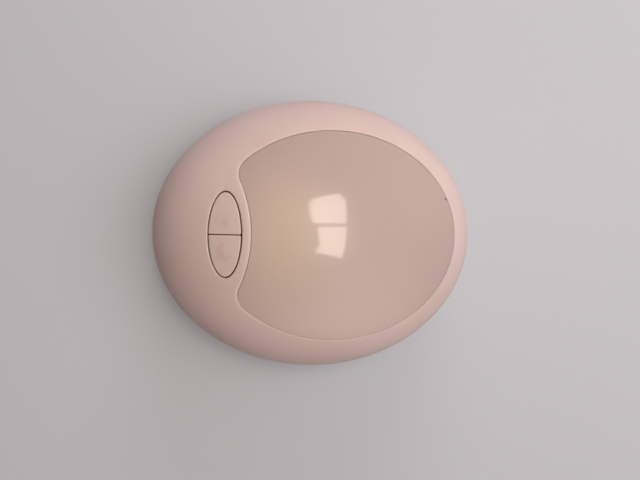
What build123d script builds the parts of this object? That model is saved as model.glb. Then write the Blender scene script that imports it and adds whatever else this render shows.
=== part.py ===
from build123d import *
import os

# Battery night light: an elliptical pebble with a domed top, an opal lens and an oval pair of push keys.
# Frame: millimetres, Z up, X towards the lens end, origin on the table under the middle of the feet.

os.makedirs("parts", exist_ok=True)

# Outer form
LENGTH = 100.0
WIDTH = 83.6
FOOT_DROP = 1.0
GIRTH = 17.0
DOME = 27.0
FLAT_LENGTH = 72.0
WALL = 2.2
DOME_FULL_SHARE = 0.58
BASE_FULL_SHARE = 0.58
BAND_SHARES = (0, 0.2, 0.4, 0.6, 0.8, 0.93)
PARTING_CHAMFER = 0.3
LIP_HEIGHT = 1.2
LIP_FIT = 0.1

# Lens, notched on its left by the keys
LENS_MIDDLE_SHARE = 0.14
LENS_LENGTH_SHARE = 0.715
LENS_WIDTH_SHARE = 0.7225
NOTCH_RADIUS = 34.0
NOTCH_LAND = 2.5
CORNER_RADIUS = 5.0
CORNER_LEAST = 1.5
LENS_WALL = 2.0
LENS_FIT = 0.15
LENS_BEVEL = 0.25
FLANGE = 1.2
FLANGE_REACH = 1.2
RIM = 1.6
OPENING_BEVEL = 0.4

# Oval key pair
KEY_MIDDLE_SHARE = 0.476
KEY_WIDTH = 10.2
KEY_LENGTH = 24.6
KEY_GAP = 0.45
KEY_SPLIT = 0.4
KEY_CAP = 1.8
KEY_WALL = 1.0
KEY_BEVEL = 0.3
KEY_TRAVEL = 0.6
KEY_LIP = 0.7
KEY_LIP_HEIGHT = 1.2
COLLAR_WALL = 1.0
COLLAR_FOOT = 32.6
STEM_RADIUS = 1.8

# Circuit board and what it carries
BOARD_FOOT = 24.0
BOARD = 1.6
BOARD_MIDDLE = -1.0
BOARD_LENGTH_SHARE = 0.795
BOARD_WIDTH_SHARE = 0.934
BOSS_RADIUS = 2.5
BOSS_KEY_ROOM = 5.1
BOSS_LENS_ROOM = 3.4
BOARD_SCREW = 2.0
BOARD_SCREW_HEAD = 3.8
BOARD_SCREW_HEAD_HEIGHT = 1.3
BOARD_SCREW_LENGTH = 6.0
BOARD_HOLE_FIT = 0.3
THREAD_FIT = 0.05
LED_SIZE = 5.0
LED_HEIGHT = 1.6
LED_FRAME = 0.7
LED_DISH = 0.5
LED_NOTCH_ROOM = 12.7
LED_END_ROOM = 21.25
LED_REACH_Y = 11.0
LED_FIT = 0.3
CHIP_LENGTH = 5.0
CHIP_WIDTH = 4.0
CHIP_HEIGHT = 1.5
CHIP_LEG = 0.4
RESISTOR_LENGTH = 3.2
RESISTOR_WIDTH = 1.6
RESISTOR_HEIGHT = 0.6
RESISTOR_PITCH = 3.2
CAPACITOR_DIAMETER = 6.3
CAPACITOR_HEIGHT = 5.4
CAPACITOR_BASE = 0.9
UNDERSIDE_X = -14.0
UNDERSIDE_Y = 22.0
SWITCH_CASE = 6.0
SWITCH_CASE_HEIGHT = 3.5
SWITCH_CHAMFER = 0.4
SWITCH_HEIGHT = 9.5
PLUNGER = 3.5
PLUNGER_FIT = 0.05

# Reflector tray
TRAY_WALL = 1.2
TRAY_FIT = 0.15
BOWL_FOOT_INSET = 8.0
BOWL_TOP_INSET = 2.0

# Battery bay, contacts and door
CELL_DIAMETER = 10.5
CELL_LENGTH = 44.5
CELL_NUB = 1.0
CELL_NUB_DIAMETER = 3.8
CELL_PITCH = 11.2
CELL_LIFT = 0.3
CONTACT_ROOM = 3.2
CONTACT_SHEET = 0.4
CONTACT_WIDTH = 7.0
CONTACT_HEIGHT = 8.0
STRAP = 3.0
LEAF_WIDTH = 4.0
LEAF_BOW = 2.6
BAY_SIDE_ROOM = 0.4
BAY_WALL = 1.5
DOOR = 2.4
DOOR_REACH = 1.3
DOOR_GAP = 0.3
DOOR_CORNER = 2.5
FRAME = 3.0
LEDGE = 1.4
HOOK_WIDTH = 3.4
HOOK = 1.2
HOOK_LIFT = 0.5
HOOK_WINDOW = 3.8
TONGUE_RADIUS = 4.2
DOOR_SCREW_ROOM = 3.45
DOOR_SCREW = 2.5
DOOR_SCREW_HEAD = 4.4
DOOR_SCREW_HEAD_HEIGHT = 1.1
DOOR_SCREW_SINK = 0.2
DOOR_SCREW_LENGTH = 7.0
DOOR_SCREW_FIT = 0.3
INSERT_RADIUS = 2.0
INSERT_LENGTH = 4.5
INSERT_POST = 3.6
GRIP_COUNT = 5
GRIP_PITCH = 2.4
GRIP_WIDTH = 16.0
GRIP_DEPTH = 0.6

# Housing screws, feet and leads
POST_X_SHARE = 0.6
POST_Y_SHARE = 0.67
POST_RADIUS = 3.6
SINK_RADIUS = 2.9
SINK_TOP = 11.0
HOUSING_SCREW = 2.6
HOUSING_SCREW_HEAD = 5.0
HOUSING_SCREW_HEAD_HEIGHT = 1.8
HOUSING_SCREW_LENGTH = 12.0
DRIVE_WIDTH = 0.7
DRIVE_SHARE = 0.55
FOOT_RADIUS = 3.5
FOOT_SINK = 0.8
FOOT_X = 17.0
FOOT_Y = 23.4
FOOT_BEVEL = 0.4
LEAD = 1.2
LEAD_SLOT = 1.8
LEAD_BEND = 3.6

# Worked out from the sizes above
OVERRUN = 1.0
HALF = LENGTH / 2
SIDE = WIDTH / 2
TOP = GIRTH + DOME
DOOR_TOP = FOOT_DROP + DOOR
LEDGE_TOP = DOOR_TOP + LEDGE
KEY_MIDDLE = -KEY_MIDDLE_SHARE * HALF
NOTCH_EDGE = KEY_MIDDLE + KEY_WIDTH / 2 + NOTCH_LAND
LENS_MIDDLE = LENS_MIDDLE_SHARE * HALF
LENS_LENGTH = LENS_LENGTH_SHARE * LENGTH
LENS_WIDTH = LENS_WIDTH_SHARE * WIDTH
BOARD_TOP = BOARD_FOOT + BOARD
BOARD_LENGTH = BOARD_LENGTH_SHARE * (LENGTH - 2 * WALL)
BOARD_WIDTH = BOARD_WIDTH_SHARE * (WIDTH - 2 * WALL)
BOARD_BOSS_X = -KEY_MIDDLE + KEY_WIDTH / 2 + BOSS_KEY_ROOM
BOARD_BOSS_Y = LENS_WIDTH / 2 + BOSS_LENS_ROOM
POST_X = POST_X_SHARE * HALF
POST_Y = POST_Y_SHARE * SIDE
CELL_AXIS = DOOR_TOP + CELL_LIFT + CELL_DIAMETER / 2
BAY_LENGTH = CELL_LENGTH + 2 * CONTACT_ROOM
BAY_WIDTH = 2 * CELL_PITCH + CELL_DIAMETER + 2 * BAY_SIDE_ROOM
BAY_ROOF = CELL_AXIS + CELL_DIAMETER / 2 + CELL_LIFT
DOOR_LENGTH = BAY_LENGTH + 2 * DOOR_REACH
DOOR_WIDTH = BAY_WIDTH + 2 * DOOR_REACH
DOOR_SCREW_X = BAY_LENGTH / 2 + BAY_WALL + DOOR_SCREW_ROOM
LENS_UNDER = WALL + LENS_FIT + FLANGE
BOARD_SCREW_PLACES = [(0, BOARD_BOSS_Y), (0, -BOARD_BOSS_Y), (-BOARD_BOSS_X, 0)]
HOUSING_SCREW_PLACES = [(x, y) for x in (POST_X, -POST_X) for y in (POST_Y, -POST_Y)]
FOOT_PLACES = [(x, y) for x in (FOOT_X, -FOOT_X) for y in (FOOT_Y, -FOOT_Y)]
LED_START = NOTCH_EDGE + LED_NOTCH_ROOM
LED_END = LENS_MIDDLE + LENS_LENGTH / 2 - LED_END_ROOM
LED_MIDDLE = (LED_START + LED_END) / 2
LED_PLACES = [(LED_START, 0), (LED_MIDDLE, LED_REACH_Y), (LED_MIDDLE, -LED_REACH_Y), (LED_END, 0)]
HOOK_PLACES = [-CELL_PITCH / 2, CELL_PITCH / 2]


def outer_form(floor, full_share, flat):
    """One half of the outer form, from the girth to a flat or pointed floor or roof at floor."""
    with BuildPart() as form:
        with BuildSketch(Plane.XZ):
            with BuildLine():
                Bezier(
                    (HALF, GIRTH),
                    (HALF, GIRTH + full_share * (floor - GIRTH)),
                    (flat + full_share * (HALF - flat), floor),
                    (flat, floor),
                )
                if flat:
                    Line((flat, floor), (0, floor))
                Line((0, floor), (0, GIRTH))
                Line((0, GIRTH), (HALF, GIRTH))
            make_face()
        revolve(axis=Axis.Z)
        scale(by=(1, SIDE / HALF, 1))
    return form.part


def banded_form(inset, floor, full_share, flat, closed_share, overrun):
    """A hidden inner skin in straight bands, from the girth to a flat floor or roof at floor."""
    reach = HALF - inset
    with BuildLine() as profile:
        Bezier(
            (reach, GIRTH),
            (reach, GIRTH + full_share * (floor - GIRTH)),
            (flat + full_share * (reach - flat), floor),
            (flat, floor),
        )
    with BuildPart() as form:
        for share in BAND_SHARES + closed_share:
            point = profile.line @ share
            with BuildSketch(Plane.XY.offset(point.Y)):
                Ellipse(point.X, point.X * (SIDE - inset) / reach)
        loft(ruled=True)
        with BuildSketch(Plane.XY.offset(GIRTH)):
            Ellipse(reach, SIDE - inset)
        extrude(amount=overrun)
    return form.part


def dome_hollow(inset):
    """The dome's inner skin, moved inward by inset and carried down past the girth."""
    return banded_form(inset, TOP - inset, DOME_FULL_SHARE, 0, (), -OVERRUN)


def base_skin(inset):
    """The base's inner skin, moved inward by inset and carried up past the girth."""
    flat = FLAT_LENGTH / 2 - inset
    return banded_form(inset, FOOT_DROP + inset, BASE_FULL_SHARE, flat, (1,), OVERRUN)


def lens_column(grow, foot=GIRTH, top=TOP + OVERRUN):
    """A column of the lens outline: an ellipse with a round bite on the left, grown by grow."""
    with BuildPart() as column:
        with BuildSketch(Plane.XY.offset(foot)):
            with Locations((LENS_MIDDLE, 0)):
                Ellipse(LENS_LENGTH / 2 + grow, LENS_WIDTH / 2 + grow)
            with Locations((NOTCH_EDGE - NOTCH_RADIUS, 0)):
                Circle(NOTCH_RADIUS - grow, mode=Mode.SUBTRACT)
        extrude(amount=top - foot)
        corners = column.edges().filter_by(Axis.Z).sort_by(Axis.X)[:2]
        fillet(corners, max(CORNER_RADIUS + grow, CORNER_LEAST))
    return column.part


def key_column(grow, foot, top=TOP + OVERRUN):
    """A column of the whole key opening, grown by grow."""
    with BuildPart() as column:
        with BuildSketch(Plane.XY.offset(foot)):
            with Locations((KEY_MIDDLE, 0)):
                Ellipse(KEY_WIDTH / 2 + grow, KEY_LENGTH / 2 + grow)
        extrude(amount=top - foot)
    return column.part


def half_key_column(side, grow, foot, top=TOP + OVERRUN):
    """A column of one key, the part of the oval on one side of the split, grown by grow."""
    edge = KEY_SPLIT / 2 - min(grow, 0)
    with BuildPart() as column:
        with BuildSketch(Plane.XY.offset(foot)):
            with Locations((KEY_MIDDLE, 0)):
                Ellipse(KEY_WIDTH / 2 - KEY_GAP + grow, KEY_LENGTH / 2 - KEY_GAP + grow)
            with Locations((KEY_MIDDLE, side * (edge + KEY_LENGTH / 2))):
                Rectangle(KEY_WIDTH + 2 * OVERRUN, KEY_LENGTH, mode=Mode.INTERSECT)
        extrude(amount=top - foot)
    return column.part


def skin_edges(part, inside):
    """The edges where the outer skin meets an opening's walls, kept where inside says."""
    skin = max(part.faces().filter_by(GeomType.BSPLINE), key=lambda face: face.area)
    walls = part.faces().filter_by(lambda face: face.geom_type in (GeomType.EXTRUSION, GeomType.CYLINDER))
    return [e for e in skin.edges() if inside(e) and any(e.is_same(w) for w in walls.edges())]


def screws(diameter, length, head, head_height, seat, places):
    """Pan head screws under seat, their shanks up to seat plus length, with a cross in each head."""
    with BuildPart() as pieces:
        with BuildSketch(Plane.XY.offset(seat - head_height)):
            with Locations(*places):
                Circle(head / 2)
        extrude(amount=head_height)
        chamfer(pieces.edges().group_by(Axis.Z)[0], head_height / 3)
        with BuildSketch(Plane.XY.offset(seat)):
            with Locations(*places):
                Circle(diameter / 2)
        extrude(amount=length)
        with BuildSketch(Plane.XY.offset(seat - head_height)):
            with Locations(*places):
                Rectangle(DRIVE_SHARE * head, DRIVE_WIDTH)
                Rectangle(DRIVE_WIDTH, DRIVE_SHARE * head)
        extrude(amount=head_height / 2, mode=Mode.SUBTRACT)
    return pieces


def save(piece, name):
    """Label a finished piece and write it out."""
    piece.part.label = name
    export_step(piece.part, f"parts/{name}.step")


outer_dome = outer_form(TOP, DOME_FULL_SHARE, 0)
outer_base = outer_form(FOOT_DROP, BASE_FULL_SHARE, FLAT_LENGTH / 2)
inner_dome = dome_hollow(WALL)
flange_dome = dome_hollow(WALL + LENS_FIT)
lens_inner_dome = dome_hollow(LENS_WALL)
lens_under_dome = dome_hollow(LENS_UNDER)
tray_top_dome = dome_hollow(LENS_UNDER + TRAY_FIT)
tray_under_dome = dome_hollow(LENS_UNDER + TRAY_FIT + TRAY_WALL)
key_inner_dome = dome_hollow(KEY_CAP)
inner_base = base_skin(WALL)

# A small V groove round the girth marks the parting of the two housings
with BuildPart() as parting_groove:
    with BuildSketch(Plane.XZ):
        with BuildLine():
            Polyline(
                (HALF + PARTING_CHAMFER, GIRTH + 2 * PARTING_CHAMFER),
                (HALF - PARTING_CHAMFER, GIRTH),
                (HALF + PARTING_CHAMFER, GIRTH - 2 * PARTING_CHAMFER),
                close=True,
            )
        make_face()
    revolve(axis=Axis.Z)
    scale(by=(1, SIDE / HALF, 1))

# Top housing: a thin dome, with its bosses and the key collar left standing in its hollow
key_collar = key_column(COLLAR_WALL, COLLAR_FOOT)
with BuildPart() as top_hollow:
    add(inner_dome)
    add(key_collar, mode=Mode.SUBTRACT)
    with BuildSketch(Plane.XY.offset(BOARD_TOP)):
        with Locations(*BOARD_SCREW_PLACES):
            Circle(BOSS_RADIUS)
    extrude(amount=TOP - BOARD_TOP, mode=Mode.SUBTRACT)
    with BuildSketch(Plane.XY.offset(GIRTH - 2 * OVERRUN)):
        with Locations(*HOUSING_SCREW_PLACES):
            Circle(BOSS_RADIUS)
    extrude(amount=TOP - GIRTH, mode=Mode.SUBTRACT)

lens_opening = lens_column(0)
key_opening = key_column(0, GIRTH)
with BuildPart() as top_housing:
    add(outer_dome)
    add(parting_groove.part, mode=Mode.SUBTRACT)
    add(top_hollow.part, mode=Mode.SUBTRACT)
    add(lens_opening, mode=Mode.SUBTRACT)
    chamfer(skin_edges(top_housing.part, lambda e: e.center().X > NOTCH_EDGE - CORNER_RADIUS), OPENING_BEVEL)
    add(key_opening, mode=Mode.SUBTRACT)
    chamfer(skin_edges(top_housing.part, lambda e: e.center().X < KEY_MIDDLE + KEY_WIDTH / 2), KEY_BEVEL)
    with BuildSketch(Plane.XY.offset(GIRTH)):
        Ellipse(HALF - WALL / 2, SIDE - WALL / 2)
        Ellipse(HALF - WALL - LIP_FIT, SIDE - WALL - LIP_FIT, mode=Mode.SUBTRACT)
    extrude(amount=LIP_HEIGHT + LIP_FIT, mode=Mode.SUBTRACT)
    with BuildSketch(Plane.XY.offset(GIRTH)):
        with Locations(*HOUSING_SCREW_PLACES):
            Circle(HOUSING_SCREW / 2 + THREAD_FIT)
    extrude(amount=SINK_TOP + HOUSING_SCREW_LENGTH - GIRTH + OVERRUN, mode=Mode.SUBTRACT)
    with BuildSketch(Plane.XY.offset(BOARD_TOP)):
        with Locations(*BOARD_SCREW_PLACES):
            Circle(BOARD_SCREW / 2 + THREAD_FIT)
    extrude(amount=BOARD_SCREW_LENGTH, mode=Mode.SUBTRACT)
save(top_housing, "top_housing")

# Lens: a flush opal window, with a thick rim and a flange that seats under the housing
lens_flange = lens_column(FLANGE_REACH)
lens_hollow_column = lens_column(-LENS_FIT - RIM)
lens_outline = lens_column(-LENS_FIT)
with BuildPart() as flange_block:
    add(lens_flange)
    add(flange_dome, mode=Mode.INTERSECT)
with BuildPart() as lens_hollow:
    add(lens_hollow_column)
    add(lens_inner_dome, mode=Mode.INTERSECT)
with BuildPart() as lens:
    add(lens_outline)
    add(outer_dome, mode=Mode.INTERSECT)
    chamfer(skin_edges(lens.part, lambda e: e.center().Z > GIRTH), LENS_BEVEL)
    add(flange_block.part)
    add(lens_under_dome, mode=Mode.SUBTRACT)
    add(lens_hollow.part, mode=Mode.SUBTRACT)
save(lens, "lens")


def bowl(inset, foot):
    """The tapered bowl, narrow at its foot on the board and wide at the lens."""
    low = lens_column(-BOWL_FOOT_INSET - inset, foot, TOP)
    high = lens_column(-BOWL_TOP_INSET - inset, foot, TOP)
    low_edge = low.faces().sort_by(Axis.Z)[0]
    high_edge = high.faces().sort_by(Axis.Z)[-1]
    with BuildPart() as form:
        loft([low_edge, high_edge], ruled=True)
    return form.part


# Reflector tray: a brim under the lens flange and a tapered bowl down to the board
bowl_outside = bowl(0, BOARD_TOP)
bowl_inside = bowl(TRAY_WALL, BOARD_TOP + TRAY_WALL)
with BuildPart() as reflector_tray:
    add(lens_flange)
    add(tray_under_dome, mode=Mode.SUBTRACT)
    add(bowl_outside)
    add(tray_top_dome, mode=Mode.INTERSECT)
    add(bowl_inside, mode=Mode.SUBTRACT)
    with BuildSketch(Plane.XY.offset(BOARD_TOP)):
        with Locations(*LED_PLACES):
            Rectangle(LED_SIZE + 2 * LED_FIT, LED_SIZE + 2 * LED_FIT)
    extrude(amount=TRAY_WALL, mode=Mode.SUBTRACT)
save(reflector_tray, "reflector_tray")

# Circuit board
with BuildPart() as circuit_board:
    with BuildSketch(Plane.XY.offset(BOARD_FOOT)):
        with Locations((BOARD_MIDDLE, 0)):
            Ellipse(BOARD_LENGTH / 2, BOARD_WIDTH / 2)
        with Locations(*BOARD_SCREW_PLACES):
            Circle(BOARD_SCREW / 2 + BOARD_HOLE_FIT, mode=Mode.SUBTRACT)
    extrude(amount=BOARD)
save(circuit_board, "circuit_board")

for number, place in enumerate(LED_PLACES, start=1):
    with BuildPart() as warm_led:
        with BuildSketch(Plane.XY.offset(BOARD_TOP)):
            with Locations(place):
                Rectangle(LED_SIZE, LED_SIZE)
        extrude(amount=LED_HEIGHT)
        with BuildSketch(Plane.XY.offset(BOARD_TOP + LED_HEIGHT)):
            with Locations(place):
                Circle(LED_SIZE / 2 - LED_FRAME)
        extrude(amount=-LED_DISH, mode=Mode.SUBTRACT)
    save(warm_led, f"warm_led_{number}")

# Parts under the board hang from its lower face
with BuildPart() as driver_chip:
    with BuildSketch(Plane.XY.offset(BOARD_FOOT)):
        with Locations((UNDERSIDE_X, UNDERSIDE_Y)):
            Rectangle(CHIP_LENGTH, CHIP_WIDTH)
    extrude(amount=-CHIP_HEIGHT)
    chamfer(driver_chip.edges().group_by(Axis.Z)[0], CHIP_HEIGHT / 5)
    with BuildSketch(Plane.XY.offset(BOARD_FOOT)):
        with Locations((UNDERSIDE_X, UNDERSIDE_Y)):
            with GridLocations(CHIP_LENGTH / 4, 0, 4, 1):
                Rectangle(CHIP_LEG, CHIP_WIDTH + 4 * CHIP_LEG)
    extrude(amount=-CHIP_LEG)
save(driver_chip, "driver_chip")

with BuildPart() as resistors:
    with BuildSketch(Plane.XY.offset(BOARD_FOOT)):
        with Locations((0, UNDERSIDE_Y)):
            with GridLocations(RESISTOR_PITCH, 0, 3, 1):
                Rectangle(RESISTOR_WIDTH, RESISTOR_LENGTH)
    extrude(amount=-RESISTOR_HEIGHT)
save(resistors, "resistors")

with BuildPart() as filter_capacitor:
    with BuildSketch(Plane.XY.offset(BOARD_FOOT)):
        with Locations((-UNDERSIDE_X, UNDERSIDE_Y)):
            Rectangle(CAPACITOR_DIAMETER, CAPACITOR_DIAMETER)
    extrude(amount=-CAPACITOR_BASE)
    with BuildSketch(Plane.XY.offset(BOARD_FOOT - CAPACITOR_BASE)):
        with Locations((-UNDERSIDE_X, UNDERSIDE_Y)):
            Circle(CAPACITOR_DIAMETER / 2)
    extrude(amount=CAPACITOR_BASE - CAPACITOR_HEIGHT)
    chamfer(filter_capacitor.edges().group_by(Axis.Z)[0], CAPACITOR_BASE / 2)
save(filter_capacitor, "filter_capacitor")

# Keys, each over its own switch on the board
for name, side in (("upper", 1), ("lower", -1)):
    centre = (KEY_MIDDLE, side * KEY_LENGTH / 4)

    with BuildPart() as switch_case:
        with BuildSketch(Plane.XY.offset(BOARD_TOP)):
            with Locations(centre):
                Rectangle(SWITCH_CASE, SWITCH_CASE)
        extrude(amount=SWITCH_CASE_HEIGHT)
        chamfer(switch_case.edges().group_by(Axis.Z)[-1], SWITCH_CHAMFER)
        with BuildSketch(Plane.XY.offset(BOARD_TOP + SWITCH_CASE_HEIGHT / 2)):
            with Locations(centre):
                Circle(PLUNGER / 2 + PLUNGER_FIT)
        extrude(amount=SWITCH_CASE_HEIGHT, mode=Mode.SUBTRACT)
    save(switch_case, f"{name}_switch_case")

    with BuildPart() as switch_plunger:
        with BuildSketch(Plane.XY.offset(BOARD_TOP + SWITCH_CASE_HEIGHT / 2 + KEY_TRAVEL)):
            with Locations(centre):
                Circle(PLUNGER / 2)
        extrude(amount=SWITCH_HEIGHT - SWITCH_CASE_HEIGHT / 2 - KEY_TRAVEL)
    save(switch_plunger, f"{name}_switch_plunger")

    key_foot = COLLAR_FOOT - KEY_LIP_HEIGHT
    key_outline = half_key_column(side, 0, key_foot)
    key_lip = half_key_column(side, KEY_GAP + KEY_LIP, key_foot, COLLAR_FOOT)
    key_hollow_column = half_key_column(side, -KEY_WALL, key_foot)
    with BuildPart() as key_hollow:
        add(key_hollow_column)
        add(key_inner_dome, mode=Mode.INTERSECT)
        with BuildSketch(Plane.XY.offset(BOARD_TOP + SWITCH_HEIGHT)):
            with Locations(centre):
                Circle(STEM_RADIUS)
        extrude(amount=DOME, mode=Mode.SUBTRACT)
    with BuildPart() as key:
        add(key_outline)
        add(outer_dome, mode=Mode.INTERSECT)
        chamfer(key.faces().filter_by(GeomType.BSPLINE).edges(), KEY_BEVEL)
        add(key_lip)
        add(key_hollow.part, mode=Mode.SUBTRACT)
    save(key, f"{name}_key")

# Base housing: a bowl with the battery bay, its frame and the screw posts left standing in it
with BuildPart() as base_hollow:
    add(inner_base)
    with BuildSketch():
        RectangleRounded(DOOR_LENGTH + 2 * FRAME, DOOR_WIDTH + 2 * FRAME, DOOR_CORNER + FRAME)
        with Locations((DOOR_SCREW_X, 0)):
            Circle(TONGUE_RADIUS + FRAME)
    extrude(amount=LEDGE_TOP, mode=Mode.SUBTRACT)
    with BuildSketch():
        Rectangle(BAY_LENGTH + 2 * BAY_WALL, BAY_WIDTH + 2 * BAY_WALL)
    extrude(amount=BAY_ROOF + BAY_WALL, mode=Mode.SUBTRACT)
    with BuildSketch():
        with Locations(*HOUSING_SCREW_PLACES):
            Circle(POST_RADIUS)
    extrude(amount=GIRTH, mode=Mode.SUBTRACT)
    with BuildSketch():
        with Locations((DOOR_SCREW_X, 0)):
            Circle(INSERT_POST)
    extrude(amount=DOOR_TOP + DOOR_SCREW_LENGTH + BAY_WALL, mode=Mode.SUBTRACT)


def door_outline(gap):
    """The door's outline with its screw tongue, grown by gap."""
    with BuildSketch() as outline:
        RectangleRounded(DOOR_LENGTH + 2 * gap, DOOR_WIDTH + 2 * gap, DOOR_CORNER + gap)
        with Locations((DOOR_SCREW_X / 2, 0)):
            Rectangle(DOOR_SCREW_X, 2 * (TONGUE_RADIUS + gap))
        with Locations((DOOR_SCREW_X, 0)):
            Circle(TONGUE_RADIUS + gap)
    return outline.sketch


lip_foot = GIRTH - LIP_HEIGHT
recess_outline = door_outline(DOOR_GAP)
with BuildPart() as base_housing:
    add(outer_base)
    add(parting_groove.part, mode=Mode.SUBTRACT)
    add(base_hollow.part, mode=Mode.SUBTRACT)
    with BuildSketch(Plane.XY.offset(lip_foot)):
        Ellipse(HALF - WALL / 2 - LIP_FIT, SIDE - WALL / 2 - LIP_FIT)
        Ellipse(HALF - WALL, SIDE - WALL, mode=Mode.SUBTRACT)
    extrude(amount=2 * LIP_HEIGHT)
    add(extrude(recess_outline, amount=DOOR_TOP, mode=Mode.PRIVATE), mode=Mode.SUBTRACT)
    with BuildSketch():
        Rectangle(BAY_LENGTH, BAY_WIDTH)
    extrude(amount=BAY_ROOF, mode=Mode.SUBTRACT)
    with BuildSketch(Plane.XY.offset(LEDGE_TOP)):
        for place in HOOK_PLACES:
            with Locations((-(BAY_LENGTH + BAY_WALL) / 2, place)):
                Rectangle(BAY_WALL + OVERRUN, HOOK_WIDTH + 2 * DOOR_GAP)
    extrude(amount=HOOK_WINDOW, mode=Mode.SUBTRACT)
    with BuildSketch():
        with Locations(*HOUSING_SCREW_PLACES):
            Circle(SINK_RADIUS)
    extrude(amount=SINK_TOP, mode=Mode.SUBTRACT)
    with BuildSketch():
        with Locations(*HOUSING_SCREW_PLACES):
            Circle(HOUSING_SCREW / 2 + BOARD_HOLE_FIT)
    extrude(amount=GIRTH, mode=Mode.SUBTRACT)
    with BuildSketch(Plane.XY.offset(DOOR_TOP)):
        with Locations((DOOR_SCREW_X, 0)):
            Circle(INSERT_RADIUS)
    extrude(amount=DOOR_SCREW_LENGTH, mode=Mode.SUBTRACT)
    with BuildSketch():
        with Locations(*FOOT_PLACES):
            Circle(FOOT_RADIUS)
    extrude(amount=FOOT_DROP + FOOT_SINK, mode=Mode.SUBTRACT)
    with BuildSketch(Plane.XY.offset(BAY_ROOF - LEAD_SLOT)):
        for x, y in ((BAY_LENGTH / 2, CELL_PITCH), (-BAY_LENGTH / 2, -CELL_PITCH)):
            with Locations((x, y)):
                Rectangle(2 * BAY_WALL + OVERRUN, LEAD_SLOT)
    extrude(amount=LEAD_SLOT, mode=Mode.SUBTRACT)
save(base_housing, "base_housing")

# Battery door, with two hooks that pass over the bay's ledge and a tongue for its screw
plate_outline = door_outline(0)
hook_foot = LEDGE_TOP + HOOK_LIFT
hook_inside = -BAY_LENGTH / 2 + DOOR_GAP
screw_seat = FOOT_DROP + DOOR_SCREW_SINK + DOOR_SCREW_HEAD_HEIGHT
with BuildPart() as battery_door:
    add(extrude(plate_outline, amount=DOOR_TOP, mode=Mode.PRIVATE))
    add(extrude(plate_outline, amount=FOOT_DROP, mode=Mode.PRIVATE), mode=Mode.SUBTRACT)
    for place in HOOK_PLACES:
        with BuildSketch(Plane.XZ.offset(-place - HOOK_WIDTH / 2)):
            with BuildLine():
                Polyline(
                    (hook_inside, DOOR_TOP),
                    (hook_inside, hook_foot),
                    (hook_inside - DOOR_GAP - BAY_WALL, hook_foot),
                    (hook_inside - DOOR_GAP - BAY_WALL, hook_foot + HOOK),
                    (hook_inside + HOOK, hook_foot + HOOK),
                    (hook_inside + HOOK, DOOR_TOP),
                    close=True,
                )
            make_face()
        extrude(amount=HOOK_WIDTH)
    with BuildSketch():
        with Locations((DOOR_SCREW_X, 0)):
            Circle(DOOR_SCREW_HEAD / 2 + DOOR_SCREW_FIT)
    extrude(amount=screw_seat, mode=Mode.SUBTRACT)
    with BuildSketch():
        with Locations((DOOR_SCREW_X, 0)):
            Circle(DOOR_SCREW / 2 + DOOR_SCREW_FIT)
    extrude(amount=DOOR_TOP, mode=Mode.SUBTRACT)
    with BuildSketch(Plane.XY.offset(FOOT_DROP)):
        with Locations((DOOR_LENGTH / 4, 0)):
            with GridLocations(GRIP_PITCH, 0, GRIP_COUNT, 1):
                SlotOverall(GRIP_WIDTH, GRIP_PITCH / 2, rotation=90)
    extrude(amount=GRIP_DEPTH, mode=Mode.SUBTRACT)
save(battery_door, "battery_door")

door_screw_shank = DOOR_SCREW_LENGTH - DOOR_SCREW_HEAD_HEIGHT
door_screw = screws(
    DOOR_SCREW, door_screw_shank, DOOR_SCREW_HEAD, DOOR_SCREW_HEAD_HEIGHT, screw_seat, [(DOOR_SCREW_X, 0)]
)
save(door_screw, "door_screw")

with BuildPart() as door_screw_insert:
    with BuildSketch(Plane.XY.offset(DOOR_TOP)):
        with Locations((DOOR_SCREW_X, 0)):
            Circle(INSERT_RADIUS)
            Circle(DOOR_SCREW / 2 + THREAD_FIT, mode=Mode.SUBTRACT)
    extrude(amount=INSERT_LENGTH)
save(door_screw_insert, "door_screw_insert")

# Cells lie side by side, turned end for end
for number, (row, facing) in enumerate(((1, 1), (0, -1), (-1, 1)), start=1):
    with BuildPart() as cell:
        with BuildSketch(Plane.YZ.offset(-CELL_LENGTH / 2 * facing)):
            with Locations((row * CELL_PITCH, CELL_AXIS)):
                Circle(CELL_DIAMETER / 2)
        extrude(amount=facing * (CELL_LENGTH - CELL_NUB))
        chamfer(cell.edges().filter_by(GeomType.CIRCLE), CELL_NUB / 2)
        with BuildSketch(Plane.YZ.offset(facing * (CELL_LENGTH / 2 - CELL_NUB))):
            with Locations((row * CELL_PITCH, CELL_AXIS)):
                Circle(CELL_NUB_DIAMETER / 2)
        extrude(amount=facing * CELL_NUB)
    save(cell, f"cell_{number}")


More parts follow.
